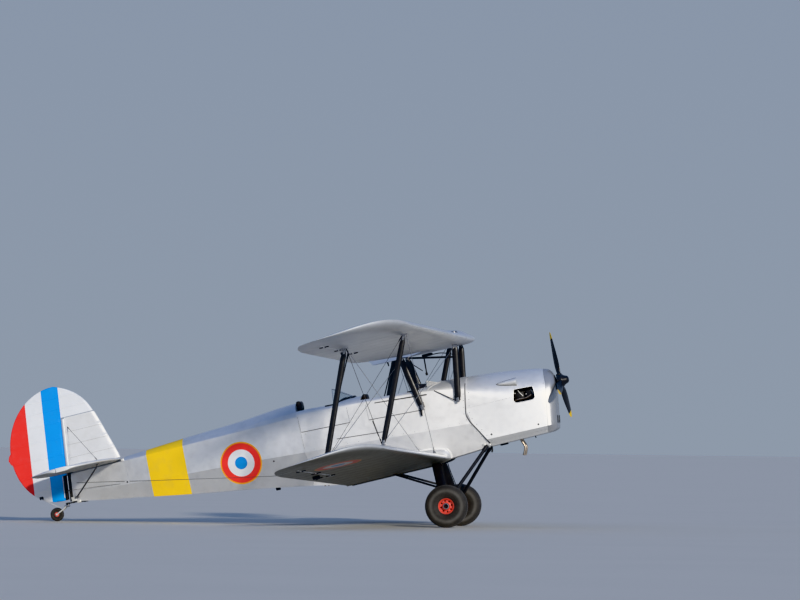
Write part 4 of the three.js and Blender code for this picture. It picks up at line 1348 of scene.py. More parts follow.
# Main gear and wheels
gear = {"inner": -0.742, "out": 0.9, "radius": 0.262, "front": (0.6, -0.286, 0.612), "low": 0.03,
    "brace": (-0.7, -0.285, 0.6), "braceFoot": (-0.05, -0.585, 0.238), "tube": 0.021, "axle": 0.0205,
    "leg": [((-0.02, -0.742, -0.04), 0.1, 0.04), ((-0.022, -0.715, 0.02), 0.118, 0.044),
        ((-0.034, -0.55, 0.24), 0.122, 0.046), ((-0.05, -0.37, 0.5), 0.122, 0.046),
        ((-0.056, -0.325, 0.565), 0.11, 0.044)]}
axleFlange = [(0, -0.012), (0.062, -0.012), (0.066, -0.008), (0.066, 0.01), (0.056, 0.016), (0.03, 0.02),
    (0, 0.02)]


@builder
def gearFrame(bm):
    streamlined(bm, gear["leg"])
    knee = (-0.01, gear["inner"], gear["low"])
    rod(bm, gear["front"], knee, gear["tube"], sides=20)
    rod(bm, gear["brace"], gear["braceFoot"], 0.013)
    rod(bm, (0, gear["inner"] + 0.03, 0), (0, -gear["out"] - 0.04, 0), gear["axle"], sides=20)
    for start, end, size in ((gear["front"], (0.548, -0.322, 0.562), 0.027),
            (knee, (0.044, -0.702, 0.082), 0.027), (gear["brace"], (-0.646, -0.31, 0.57), 0.018),
            (gear["braceFoot"], (-0.104, -0.56, 0.268), 0.018)):
        rod(bm, start, end, size, sides=16)
    turned(bm, axleFlange, (0, gear["inner"] - 0.02, 0), (0, 1, 0), 32)


bothSides(gearFrame, "gear_frame", "strut_black", "black", ["gear_{hand}"])


@builder
def brakePipes(bm):
    tube(bm, [(0.0, -0.755, 0.05), (0.03, -0.735, 0.1), (0.032, -0.6, 0.24), (0.018, -0.42, 0.46),
        (0.02, -0.33, 0.57)], 0.005, 8, 6)
    turned(bm, [(0, -0.004), (0.007, -0.004), (0.007, 0.006), (0, 0.006)], (0, -gear["out"] - 0.036, 0),
        (0, -1, 0), 12)
    block(bm, (-0.028, -0.8, -0.085), (0.028, -0.762, -0.055), 0.006)


bothSides(brakePipes, "brake_pipe", "strut_black", "dull")
wheelMiddle = (0, -gear["out"], 0)
tyreProfile = [(0.1, -0.06), (0.108, -0.066), (0.12, -0.074), (0.14, -0.0845), (0.15, -0.0885),
    (0.152, -0.0875), (0.156, -0.088), (0.158, -0.0905), (0.176, -0.0945), (0.196, -0.095),
    (0.214, -0.0915), (0.217, -0.09), (0.22, -0.09), (0.223, -0.0885), (0.236, -0.078), (0.247, -0.064),
    (0.2545, -0.05)]
treadProfile = [(0.2545, -0.05), (0.259, -0.038)]
for groove in (-0.03, -0.01):
    treadProfile += [(0.2612, groove - 0.003), (0.256, groove - 0.002), (0.256, groove + 0.002),
        (0.2616, groove + 0.003)]


@builder
def tyre(bm):
    half = tyreProfile + treadProfile[1:] + [(0.262, 0.0)]
    turned(bm, bothHalves(half) + [(0.098, 0.05), (0.098, -0.05)], wheelMiddle, (0, -1, 0), 72)


rimProfile = [(0.0265, 0.064), (0.032, 0.066), (0.04, 0.066), (0.044, 0.062), (0.045, 0.045),
    (0.05, 0.03), (0.062, 0.027), (0.076, 0.03), (0.083, 0.04), (0.086, 0.055), (0.09, 0.062),
    (0.096, 0.063), (0.0975, 0.058), (0.0975, 0.0)]
capProfile = [(0.0265, 0.0), (0.04, 0.0), (0.041, -0.004), (0.038, -0.01), (0.0265, -0.011)]
drumProfile = [(0.03, -0.012), (0.094, -0.012), (0.094, 0.012), (0.03, 0.012)]
rimParts = {"holes": 8, "holeCircle": 0.066, "hole": 0.0115, "boltCircle": 0.07, "bolt": 0.005}


@builder
def rimBolts(bm):
    for along, up in circle(rimParts["holes"], rimParts["boltCircle"], 0.5):
        pin(bm, Vector((along, -gear["out"] - 0.0285, up)), 0, -0.007, rimParts["bolt"], 6)
    turned(bm, capProfile, (0, -gear["out"] - 0.066, 0), (0, 1, 0), 24)
    rod(bm, (0.086, -gear["out"] - 0.05, 0), (0.088, -gear["out"] - 0.075, 0), 0.0035, sides=8)


def rimHoles(side):
    bm = bmesh.new()
    for along, up in circle(rimParts["holes"], rimParts["holeCircle"]):
        pin(bm, Vector((along, gear["out"] * side, up)), -0.08, 0.08, rimParts["hole"], 16)
    return cutter(bm)


def wheels():
    for side, hand in hands:
        body = "main_wheel_" + hand
        put(tyre(), "tyre_cover_" + hand, "tyre", "rubber", ["tyre_" + hand], side > 0, sharp=38,
            body=body)
        rim = turned(bmesh.new(), bothHalves(rimProfile), wheelMiddle, (0, -1, 0), 48)
        disc = put(rim, "rim_" + hand, "rim_red", "rim", ["wheel_rim_" + hand], side > 0, sharp=30,
            body=body)
        cutWith(disc, rimHoles(side))
        put(rimBolts(), "rim_bolts_" + hand, "rim_red", "steel", (), side > 0, body=body)
        drum = turned(bmesh.new(), drumProfile, wheelMiddle, (0, -1, 0))
        put(drum, "brake_drum_" + hand, "rim_red", "dark", (), side > 0, body=body)


wheels()
print("gear and wheels made")


# Tail surfaces: a thin section between a front and a back edge, at each height or distance out
def edgeRise(distance, full, reach):
    return full * sqrt(max(0.0, 1 - (1 - clamped(distance / reach)) ** 2))


# rows: (position, front, back) along the surface; thickness rounds off at the front and tapers at the back
def surfaceWrap(rows, lay, full, nose=0.03, tail=0.26, thin=0.004, ribs=(), bluntBack=False,
        bluntFront=False):
    cells = 22

    def place(around, share):
        position, front, back = stepped(rows, share)
        k = round(around * 2 * cells) % (2 * cells)
        s = 0.5 + 0.5 * cos(pi * k / cells)
        along = front + (back - front) * s
        length = max(front - back, 1e-4)
        half = full if bluntFront else edgeRise(front - along, full, min(nose, length * 0.45))
        if not bluntBack:
            t = min(1.0, (along - back) / min(tail, length * 0.6))
            half = min(half, thin + (full - thin) * sin(pi / 2 * t))
            if along - back < 0.006:
                half *= sqrt(max(0.0, (along - back) / 0.006))
        near = min((abs(position - rib) for rib in ribs), default=1)
        if near < ribTape["half"] and 0.01 < s < 0.99:
            half += ribTape["rise"]
        elif ribs and 0.04 < s < 0.97:
            half -= ribTape["sag"]
        if (k == 0 and not bluntBack) or (k == cells and not bluntFront):
            half = 0
        return lay(along, position, half if k <= cells else -half)
    return wrap(2 * cells, len(rows) - 1, place)


ribTape = {"half": 0.0125, "rise": 0.0011, "sag": 0.0016}


def spread(low, high, ribs, step=0.05):
    count = round((high - low) / step)
    marks = {low, high} | {low + (high - low) * k / max(1, count) for k in range(count)}
    for rib in ribs:
        marks |= {rib + d for d in (-0.015, -0.012, 0.012, 0.015) if low < rib + d < high}
    return sorted(marks)


upright = lambda along, up, half: (along, half, up)
lying = lambda height: lambda along, out, half: (along, -out, height + half)


def rudderBack(up):
    bow = rudder["high"] if up >= rudder["widest"] else rudder["low"]
    return bow["from"] - bow["bulge"] * sqrt(max(0.0, 1 - ((up - rudder["widest"]) / bow["reach"]) ** 2))


def quadAt(a, b, c, up):
    low, high = 0.0, 1.0
    for _ in range(30):
        t = (low + high) / 2
        if (1 - t) ** 2 * a[1] + 2 * t * (1 - t) * b[1] + t * t * c[1] < up:
            low = t
        else:
            high = t
    return (1 - t) ** 2 * a[0] + 2 * t * (1 - t) * b[0] + t * t * c[0]


rudder = {"bottom": 1.186, "widest": 1.8, "joint": 2.196, "top": 2.597, "thick": 0.022, "taper": 0.4,
          "high": {"from": -4.53, "bulge": 0.708, "reach": 0.797},
          "low": {"from": -4.74, "bulge": 0.498, "reach": 0.614},
          "front": ((-4.097, 2.196), (-4.2, 2.5), (-4.53, 2.597))}
rudderRibs = (1.36, 1.56, 1.76, 1.96, 2.16, 2.32, 2.46)


def rudderBody():
    joint, height = rudder["joint"], rudder["top"] - rudder["joint"]
    bow = {rudder["bottom"] + (rudder["widest"] - rudder["bottom"]) * (1 - cos(pi / 2 * k / 9))
           for k in range(10)}
    low = sorted(bow | set(spread(1.3, joint, rudderRibs)) - {1.3})
    lower = [(up, hingeAt(up) - 0.006, rudderBack(up)) for up in low if up <= joint]
    bow = {rudder["top"] - height * (1 - sin(pi / 2 * k / 14)) for k in range(15)}
    front = lambda up: quadAt(*rudder["front"], up)
    upper = [(up, front(up), min(rudderBack(up), front(up) - 0.0005))
             for up in sorted(bow | set(spread(joint, 2.56, rudderRibs)))]
    thick, taper = rudder["thick"], rudder["taper"]
    bm = surfaceWrap(lower, upright, thick, thick, taper, 0.005, rudderRibs)
    return join(bm, surfaceWrap(upper, upright, thick, thick, taper, 0.005, rudderRibs))


def finBody():
    ribs = (1.7, 1.86, 2.02)
    front = lambda up: (quadAt((-3.895, 1.566), (-3.975, 1.83), (-4.041, 2.053), up) if up < 2.053 else
        -4.041 - (up - 2.053) * 0.33 if up < 2.182 else -4.0836 - (up - 2.182) * 1.5)
    marks = sorted(set(spread(1.552, 2.12, ribs)) | {2.14, 2.155, 2.166, 2.174, 2.182, 2.188})
    rows = [(up, front(up) if up > 1.566 else -3.895, hingeAt(up) + 0.036) for up in marks]
    return surfaceWrap(rows, upright, 0.024, 0.06, ribs=ribs, bluntBack=True)


tail = {"half": 1.36, "nose": -3.89, "back": -4.94, "hinge": -4.522, "up": 1.53}
tailRibs = (0.28, 0.5, 0.72, 0.94, 1.14)


def tailFront(out):
    if out < 0.56:
        return tail["nose"] - 0.045 * out / 0.56
    return quadAt((-3.935, 0.56), (-4.02, tail["half"] * 0.93), (-4.33, tail["half"]), out)


def tailBack(out):
    if out < 0.275:
        return tail["hinge"] + (tail["back"] - tail["hinge"]) * max(0.0, out - 0.07) / 0.205
    if out < 0.85:
        return tail["back"] + 0.03 * (out - 0.275) / 0.575
    return quadAt((-4.91, 0.85), (-4.83, tail["half"] * 0.97), (-4.54, tail["half"]), out)


def tailOuts(start):
    bow = [tail["half"] - 0.3 * (1 - sin(pi / 2 * k / 12)) for k in range(13)]
    return sorted(set(spread(start, 1.05, tailRibs)) | set(bow))


def tailplaneHalf():
    rows = [(out, tailFront(out), tail["hinge"] + 0.006) for out in tailOuts(0.0)]
    return surfaceWrap(rows, lying(tail["up"]), 0.027, 0.1, ribs=tailRibs, bluntBack=True)


def elevatorHalf():
    rows = [(out, tail["hinge"] - 0.0002, min(tailBack(out), tail["hinge"] - 0.02))
            for out in tailOuts(0.08) if out <= tail["half"]]
    return surfaceWrap(rows, lying(tail["up"]), 0.026, 0.026, 0.3, 0.005, tailRibs)


def mirroredPair(build):
    return join(build(), flipped(build()))


put(finBody(), "fin_skin", "tail_fabric", "pale", ["fin"], sharp=40)
put(rudderBody(), "rudder_skin", "tail_fabric", "rudder", ["rudder"], sharp=40, body="rudder")
put(mirroredPair(tailplaneHalf), "tailplane_skin", "tail_fabric", "pale", ["tailplane"], sharp=40)
elevatorMesh = mirroredPair(elevatorHalf)
rod(elevatorMesh, (tail["hinge"] - 0.016, -0.12, tail["up"]), (tail["hinge"] - 0.016, 0.12, tail["up"]),
    0.012)
put(elevatorMesh, "elevator_skin", "tail_fabric", "pale", ["elevator"], sharp=40, body="elevator")


def trimTab():
    rows = [(1.725, -5.205, -5.214), (1.735, -5.2, -5.222), (1.775, -5.2, -5.258), (1.825, -5.2, -5.277),
            (1.875, -5.2, -5.258), (1.915, -5.2, -5.222), (1.925, -5.203, -5.211)]
    return surfaceWrap(rows, upright, 0.0045, 0.01, 0.05, 0.002)


tailStrut = [(-4.54, 0.045, 1.19), (-4.3, 0.478, 1.34), (-4.07, 0.87, 1.49)]
put(trimTab(), "trim_tab", "tail_fabric", "tab", sharp=60, body="rudder")


@builder
def tailDetails(bm):
    for up in (1.62, 1.9, 2.14):
        block(bm, (0.008, -0.01, -0.022), (0.045, 0.01, 0.022), 0.003, at=(hingeAt(up), 0, up))
    for side in (-1, 1):
        for out in (0.35, 0.72, 1.12):
            block(bm, (0.027, -0.012, -0.009), (0.04, 0.012, 0.009), 0.003,
                at=(tail["hinge"], side * out, tail["up"]))
        tube(bm, [(x, side * y, z) for x, y, z in tailStrut], 0.0095, 12, 3)
        for x, y, z in ((-4.07, 0.87, 1.494), (-4.528, 0.066, 1.196)):
            block(bm, (-0.022, -0.016, -0.016), (0.022, 0.016, 0.01), 0.004, at=(x, side * y, z))


put(tailDetails(), "tail_struts_and_hinges", "strut_black", "seam",
    ["tail_strut_right", "tail_strut_left"])


# The sternpost, dark partly with painted shade, a strip of painted shade behind the fin, and the fin's
# light post
def post(bm, low, high, ahead, behind, half):
    corners = [(hingeAt(low) + ahead, low), (hingeAt(low) + behind, low), (hingeAt(high) + behind, high),
               (hingeAt(high) + ahead, high)]
    return plate(bm, corners, -half, half)


@builder
def posts(bm):
    post(bm, 1.157, 1.5, 0.006, 0.05, 0.016)
    post(bm, 1.56, 2.18, -0.001, 0.012, 0.009)


put(posts(), "stern_post_and_gap_shade", "strut_black", "dark")
put(rod(bmesh.new(), (hingeAt(1.557) + 0.024, 0, 1.557), (hingeAt(2.176) + 0.024, 0, 2.176), 0.0265,
    0.0265), "fin_post", "tail_fabric", "pale")


@sidedBuilder
def hornArms(bm, side):
    block(bm, (-0.034, side * 0.025, 1.29), (-0.003, side * 0.098, 1.302), 0.003, at=(hingeAt(1.3), 0, 0))


put(hornArms(), "rudder_horn", "strut_black", "black", body="rudder")


# Tailwheel
steer = {"along": -4.672, "up": 1.15}
tailWheel = {"along": -4.942, "radius": 0.085, "armOut": 0.044}


def toLevel(along, out, up):
    c, s = cos(parkedAngle), sin(parkedAngle)
    return Vector((along * c + (up - gear["radius"]) * s, out, -along * s + (up - gear["radius"]) * c))


tailAxle = toLevel(tailWheel["along"], 0, tailWheel["radius"])


@builder
def tailBracket(bm):
    block(bm, (steer["along"] - 0.026, -0.022, 1.133), (-4.6, 0.022, 1.149), 0.005)
    rod(bm, (steer["along"], 0, 1.128), (steer["along"], 0, 1.1545), 0.0225, sides=24)
    tube(bm, [(-4.61, 0, 1.141), (-4.56, 0, 1.142), (-4.49, 0, 1.132), (-4.42, 0, 1.121)], 0.012, 10, 4)
    block(bm, (-4.47, -0.03, 1.112), (-4.42, 0.03, 1.146), 0.006)


def tailFork():
    pivot = (steer["along"], 0, 0)
    bm = block(bmesh.new(), (-0.046, -0.05, 1.101), (0.014, 0.05, 1.125), 0.007, 3, at=pivot)
    for side in (-1, 1):
        block(bm, (-0.006, side * 0.05, 1.106), (0.01, side * 0.092, 1.116), 0.003, at=pivot)
    return bm


def forkArms():
    bm, pivot = bmesh.new(), steer["along"]
    for side in (-1, 1):
        foot = tailAxle + Vector((0, side * tailWheel["armOut"], 0))
        tube(bm, [(pivot - 0.03, side * 0.044, 1.112), (pivot - 0.062, side * 0.0445, 1.088), foot],
            0.009, 12, 5)
        turned(bm, [(0, 0), (0.014, 0), (0.014, 0.006), (0.01, 0.01), (0, 0.01)], foot, (0, side, 0), 16)
    return pin(bm, tailAxle, -0.052, 0.052, 0.0065, 12)


@builder
def tailTyre(bm):
    half = [(0.0085, 0.03), (0.03, 0.029), (0.036, 0.029), (0.04, 0.022), (0.046, 0.021), (0.05, 0.026),
            (0.06, 0.03), (0.07, 0.029), (0.079, 0.022), (0.0835, 0.012), (0.085, 0.004), (0.085, 0.0)]
    turned(bm, bothHalves(half), tailAxle, (0, -1, 0), 48)


put(tailBracket(), "tail_bracket_body", "strut_black", "black", ["tailwheel_bracket"])
put(tailFork(), "tail_fork_body", "strut_black", "steel", ["tailwheel_fork"], body="tail_fork")
put(forkArms(), "tail_fork_arms", "steel_wire", "bright", body="tail_fork")
put(tailTyre(), "tail_tyre", "tyre", "rubber", ["tailwheel"], sharp=45, body="tail_wheel")


@sidedBuilder
def tailHub(bm, side):
    turned(bm, [(0.0085, 0.0), (0.026, 0.0), (0.028, 0.003), (0.024, 0.006), (0.0085, 0.006)],
           tailAxle + Vector((0, side * 0.0295, 0)), (0, side, 0), 20)


put(tailHub(), "tail_wheel_hub", "rim_red", "rim", body="tail_wheel")
print("tail made")


# Cockpits: seats, cushions, harness, panels, sticks and pedals
cockpitPlaces = {"front": {"seat": -0.7, "floor": 0.74, "panel": 0.1, "stick": -0.18, "pedals": 0.3},
    "rear": {"seat": -1.5, "floor": 0.79, "panel": -0.93, "stick": -1.03, "pedals": -0.56}}
padding = {"voxel": 0.0075, "pressure": 4.0, "frames": 20, "cap": 0.01, "channel": 0.005,
    "channelWidth": 0.009}
rowToLevel = levelToRow.inverted()


# A stuffed pad: swollen by air pressure as cloth, flat where it rests, sewn in along its channels
def stuffedPad(name, low, high, rests, channels=(), replaced=()):
    piece = put(block(bmesh.new(), low, high, 0.016, 3), name, "leather", "leather", replaced)
    even = piece.modifiers.new("even", "REMESH")
    even.mode, even.voxel_size = "VOXEL", padding["voxel"]
    settle(piece, 180)
    before = [v.co.copy() for v in piece.data.vertices]
    cloth = piece.modifiers.new("stuffing", "CLOTH")
    cloth.settings.use_pressure = True
    cloth.settings.uniform_pressure_force = padding["pressure"]
    cloth.settings.effector_weights.gravity = 0
    for step in range(1, padding["frames"] + 1):
        bpy.context.scene.frame_set(step)
    settle(piece, 180)
    bpy.context.scene.frame_set(1)
    for v, old in zip(piece.data.vertices, before):
        move = v.co - old
        v.co = old + move * min(1.0, padding["cap"] / max(move.length, 1e-9))
    axis, floor = rests
    for v in piece.data.vertices:
        p = rowToLevel @ v.co
        near = min((abs(p.y - c) for c in channels), default=1.0)
        if near < 0.03 and p[axis] > floor + 0.02:
            p[axis] -= padding["channel"] * exp(-(near / padding["channelWidth"]) ** 2)
        p[axis] = max(p[axis], floor)
        v.co = levelToRow @ p
    finer = piece.modifiers.new("finer", "SUBSURF")
    finer.levels = finer.render_levels = 1
    settle(piece, 180)
    return piece


panSide = [(-0.01, -0.006), (0.405, -0.006), (0.405, 0.085), (0.25, 0.11), (0.11, 0.2), (0.06, 0.36),
    (0.03, 0.57), (-0.01, 0.57)]
legFoot = 0.6


@builder
def seatPan(bm, seat, floor):
    block(bm, (-0.01, -0.226, -0.007), (0.405, 0.226, -0.001), 0.002)
    block(bm, (-0.012, -0.226, -0.006), (-0.006, 0.226, 0.572), 0.002)
    for out in (-0.228, 0.222):
        plate(bm, panSide, out, out + 0.006, round=0.0015)
    for along in (0.03, 0.36):
        for out in (-0.19, 0.19):
            rod(bm, (along, out, legFoot - floor), (along, out, -0.004), 0.011, sides=12)
    shifted(bm, seat, floor)


# Counted from the seat's back corner
shoulderStrap = [(-0.03, 0.1, 0.5), (-0.018, 0.1, 0.585), (0.02, 0.1, 0.6), (0.072, 0.098, 0.555),
    (0.08, 0.092, 0.36), (0.092, 0.075, 0.2), (0.155, 0.045, 0.112), (0.205, 0.022, 0.106)]
lapStrap = [(0.085, 0.22, 0.05), (0.105, 0.216, 0.095), (0.15, 0.17, 0.112), (0.195, 0.08, 0.108),
    (0.215, 0.02, 0.106)]
webbing = {"width": 0.042, "thick": 0.0022}


@builder
def harness(bm, seat, floor):
    for side in (-1, 1):
        for path, across in ((shoulderStrap, (0, 1, 0)), (lapStrap, (1, 0.25 * -side, 0))):
            strap(bm, [(x, side * y, z) for x, y, z in path], webbing["width"], webbing["thick"], across)
    shifted(bm, seat, floor)


@builder
def buckles(bm, seat, floor):
    block(bm, (0.178, -0.03, 0.105), (0.24, 0.03, 0.118), 0.004)
    rod(bm, (0.209, 0, 0.116), (0.209, 0, 0.124), 0.016, sides=20)
    for side in (-1, 1):
        block(bm, (0.074, -0.026, 0.395), (0.085, 0.026, 0.425), 0.003, at=(0, side * 0.094, 0))
    shifted(bm, seat, floor)


dials = ((-0.165, 1.32, 0.041), (-0.062, 1.345, 0.041), (0.045, 1.345, 0.041), (0.15, 1.32, 0.041),
         (-0.112, 1.24, 0.033), (-0.01, 1.247, 0.033), (0.09, 1.24, 0.033), (0.19, 1.24, 0.024))


@builder
def panelBoard(bm, panel):
    arch = [(-0.27, 1.18), (0.27, 1.18)]
    for k in range(13):
        turn = pi * k / 12
        arch.append((0.27 * cos(turn), 1.315 + 0.121 * sin(turn)))
    plate(bm, arch, -panel, -panel + 0.018, Matrix.Rotation(pi / 2, 4, "Z"), 0.002)


# Bezels with their black faces, then their marks and needles
def dialSet(panel, marks):
    bm, face = bmesh.new(), panel - 0.018
    for number, (out, up, radius) in enumerate(dials):
        at = Vector((face, out, up))
        if not marks:
            turned(bm, [(0, 0.0), (radius, 0.0), (radius, 0.006), (radius * 0.93, 0.0095),
                (radius * 0.84, 0.008), (radius * 0.82, 0.003), (0, 0.003)], at, (-1, 0, 0), 32)
            continue
        for k in range(12):
            spoke = Matrix.Translation(at) @ Matrix.Rotation(tau * k / 12, 4, "X")
            block(bm, (-0.004, -0.0011, radius * 0.62), (-0.0032, 0.0011, radius * 0.77), matrix=spoke)
        needle = Matrix.Translation(at) @ Matrix.Rotation(0.9 + 1.7 * number, 4, "X")
        block(bm, (-0.0052, -0.0013, -radius * 0.15), (-0.0044, 0.0013, radius * 0.66), matrix=needle)
    for k in range(0 if marks else 6):
        rod(bm, (face, -0.2 + 0.035 * k, 1.198), (face - 0.014, -0.2 + 0.035 * k, 1.202), 0.004, sides=8)
    return bm


@builder
def stickAndPedals(bm, along, floor, pedals):
    tube(bm, [(along, 0, 0.595), (along - 0.005, 0, 0.8), (along - 0.03, 0, 1.03)], 0.0115, 12, 5)
    turned(bm, [(0, 0), (0.034, 0), (0.036, 0.01), (0.026, 0.035), (0.013, 0.05), (0, 0.05)],
        (along, 0, 0.59), (0, 0, 1), 24)
    for side in (-1, 1):
        rod(bm, (pedals - 0.02, side * 0.262, 0.595), (pedals, side * 0.262, 0.75), 0.009, sides=10)
        block(bm, (-0.01, -0.045, 0.7), (0.004, 0.045, 0.775), 0.004, at=(pedals, side * 0.262, 0))
    block(bm, (-0.1, 0.318, 1.13), (0.06, 0.333, 1.2), 0.005, at=(along, 0, 0))
    rod(bm, (along - 0.03, 0.316, 1.165), (along - 0.055, 0.302, 1.255), 0.0045, sides=8)


def stickGrip(along):
    grip = [(0, 0.0), (0.014, 0.0), (0.0165, 0.01), (0.015, 0.03), (0.0165, 0.05), (0.015, 0.07),
        (0.0165, 0.09), (0.015, 0.105), (0.009, 0.115), (0, 0.117)]
    bm = turned(bmesh.new(), grip, (along - 0.027, 0, 1.01), (-0.1, 0, 1), 20)
    return ball(bm, (along - 0.057, 0.3, 1.262), 0.012, segments=14)


for place, spots in cockpitPlaces.items():
    seat, floor, panel = spots["seat"], spots["floor"], spots["panel"]
    put(seatPan(seat, floor), "seat_pan_" + place, "leather", "wood")
    stuffedPad("seat_cushion_" + place, (seat + 0.064, -0.205, floor + 0.001),
        (seat + 0.392, 0.205, floor + 0.078), (2, floor + 0.0005), (-0.135, -0.045, 0.045, 0.135),
        ["seat_" + place])
    stuffedPad("back_cushion_" + place, (seat + 0.001, -0.203, floor + 0.1),
        (seat + 0.048, 0.203, floor + 0.548), (0, seat - 0.0045), (-0.135, -0.045, 0.045, 0.135))
    put(harness(seat, floor), "harness_" + place, "leather", "webbing")
    put(buckles(seat, floor), "buckles_" + place, "steel_wire", "steel")
    put(panelBoard(panel), "panel_board_" + place, "panel_black", "dull", ["instrument_panel_" + place])
    put(dialSet(panel, False), "dials_" + place, "panel_black", "black")
    put(dialSet(panel, True), "dial_marks_" + place, "panel_black", "dial")
    put(stickAndPedals(spots["stick"], floor, spots["pedals"]), "controls_" + place,
        "panel_black", "black")
    put(stickGrip(spots["stick"]), "grips_" + place, "panel_black", "rubber")
for place, along, up, high in (("front", -0.777, 1.547, 0.046), ("rear", -1.5955, 1.64, 0.06)):
    stuffedPad("headrest_pad_" + place, (along, -0.148, up - high), (along + 0.054, 0.148, up + high),
        (0, along), (), ["headrest_" + place])
print("cockpits fitted")


# Windshields of three panes, with their frames, seals and the hood behind the front one
shields = {
    "front": {"back": 0.05, "high": ((0.36, 1.44), (0.2, 1.566)), "front": 0.201,
        "low": ((0.19, 1.495), (0.18, 1.507)), "frame": "bright", "pane": "frosted", "thick": 0.0042},
    "rear": {"back": -1.12, "high": ((0.346, 1.548), (0.14, 1.746)), "front": -0.885,
        "low": ((0.16, 1.58), (0.145, 1.592)), "frame": "steel", "pane": "clear", "thick": 0.0024}}
pane = {"thick": 0.0045, "seal": 0.0065}


def shieldCorners(shield):
    (wide, foot), (narrow, top) = shield["high"]
    (lowWide, lowFoot), (lowNarrow, lowTop) = shield["low"]
    back, front = shield["back"], shield["front"]
    right = [Vector(p) for p in ((back, -wide, foot), (back, -narrow, top), (front, -lowNarrow, lowTop),
        (front, -lowWide, lowFoot))]
    return right, [Vector((p.x, -p.y, p.z)) for p in right]


def panes(shield):
    bm = bmesh.new()
    right, left = shieldCorners(shield)
    for corners in (right, left, (left[1], right[1], right[2], left[2])):
        part = bmesh.new()
        part.faces.new([part.verts.new(p) for p in corners])
        bmesh.ops.subdivide_edges(part, edges=part.edges, cuts=3, use_grid_fill=True)
        bmesh.ops.recalc_face_normals(part, faces=part.faces)
        bmesh.ops.solidify(part, geom=part.faces, thickness=pane["thick"])
        join(bm, part)
    return bm


def shieldFrame(shield):
    bm, radius = bmesh.new(), shield["thick"]
    right, left = shieldCorners(shield)
    for a, b in ((right[0], right[1]), (right[1], left[1]), (left[1], left[0]), (right[1], right[2]),
            (left[1], left[2])):
        rod(bm, a, b, radius, sides=10)
        for end in (a, b):
            ball(bm, end, radius, segments=10)
    return bm


@builder
def shieldSeal(bm, shield):
    right, left = shieldCorners(shield)
    path = []
    for a, b in ((right[0], right[3]), (right[2], left[2]), (left[3], left[0])):
        for p in (a + (b - a) * k / 5 for k in range(6)):
            ahead = 0.012 if abs(p.y) < 0.17 else 0
            path.append((p.x + ahead, p.y, skinUp(bodyRows, p.x, abs(p.y)) + 0.002))
    tube(bm, path, pane["seal"], 10, 2)


for place, shield in shields.items():
    put(panes(shield), "windshield_panes_" + place, "clear", shield["pane"], ["windshield_" + place],
        recalculate=False)
    put(shieldFrame(shield), "windshield_frame_" + place, "fuselage_panel", shield["frame"])
    put(shieldSeal(shield), "windshield_seal_" + place, "panel_black",
        "dull" if place == "rear" else "bright")

hood = {"back": -0.104, "front": 0.046, "half": 0.318, "foot": 1.448, "backTop": 1.566, "frontTop": 1.537,
    "thick": 0.009}


# The leather-covered hood over the front panel, rolled at its back edge
def frontHood():
    rows, columns = 10, 24

    def place(around, along):
        turn = pi * around
        top = hood["backTop"] + (hood["frontTop"] - hood["backTop"]) * along
        lift = sin(turn) ** 0.75 if 0 < around < 1 else 0
        return (hood["back"] + (hood["front"] - hood["back"]) * along, -hood["half"] * cos(turn),
                hood["foot"] + (top - hood["foot"]) * lift)
    bm = wrap(columns, rows, place, closeEnds=False)
    bmesh.ops.recalc_face_normals(bm, faces=bm.faces)
    bmesh.ops.solidify(bm, geom=bm.faces, thickness=hood["thick"])
    return tube(bm, [place(k / columns, 0.0) for k in range(columns + 1)], 0.011, 10, 1)


put(frontHood(), "panel_hood", "leather", "leather", sharp=60)


# Black edging round the front of each opening
@builder
def openingEdge(bm, place):
    path = []
    for x, y in openingPlan(place, 0.003)[1:-1]:
        along = cockpits[place]["corner"] + x
        path.append((along, y, skinUp(bodyRows, along, abs(y)) + 0.002))
    back = cockpits[place]["corner"] - 0.1
    for side, end in ((-1, 0), (1, len(path))):
        out = side * (sill["half"] + 0.003)
        path.insert(end, (back, out, skinUp(bodyRows, back, abs(out))))
    tube(bm, path, 0.009, 10, 2)


# The padded roll round the front of the rear opening
@builder
def rearRoll(bm):
    path = []
    for k in range(-8, 9):
        along, out = -0.873 - 0.15 * abs(k / 8) ** 1.8, 0.262 * k / 8
        path.append((along, out, skinUp(bodyRows, along, abs(out)) + 0.005))
    tube(bm, path, 0.0135, 12, 2)


for place in cockpits:
    put(openingEdge(place), "opening_edge_" + place, "leather", "dull")
put(rearRoll(), "rear_coaming_roll", "leather", "leather")
print("windshields and hood made")


# Rigging: flying, landing and incidence wires with their turnbuckles, and the tail's wires
def stay(bm, start, end, radius=0.0032, fitting=0.0068):
    start, end = Vector(start), Vector(end)
    way = (end - start).normalized()
    rod(bm, start, end, radius, sides=8)
    for at, sign in ((start, 1), (end, -1)):
        rod(bm, at, at + way * sign * 0.055, fitting, sides=10)
        rod(bm, at + way * sign * 0.055, at + way * sign * 0.095, fitting, radius, sides=10)
    return bm


stayOut = 2.85
stayRoots = {"flyingRear": (-0.205, -0.446, 0.722), "flyingFront": (-0.035, -0.44, 0.706),
    "landingFront": (0.5, -0.436, 1.885), "landingRear": (-0.165, -0.436, 1.885)}


@builder
def twoStays(bm, name, root, column, top):
    for place, shares in reversed(sparPlaces.items()) if column == 0 else sparPlaces.items():
        stay(bm, stayRoots[name + place.capitalize()], skinUnder(root, stayOut, shares[column], top))


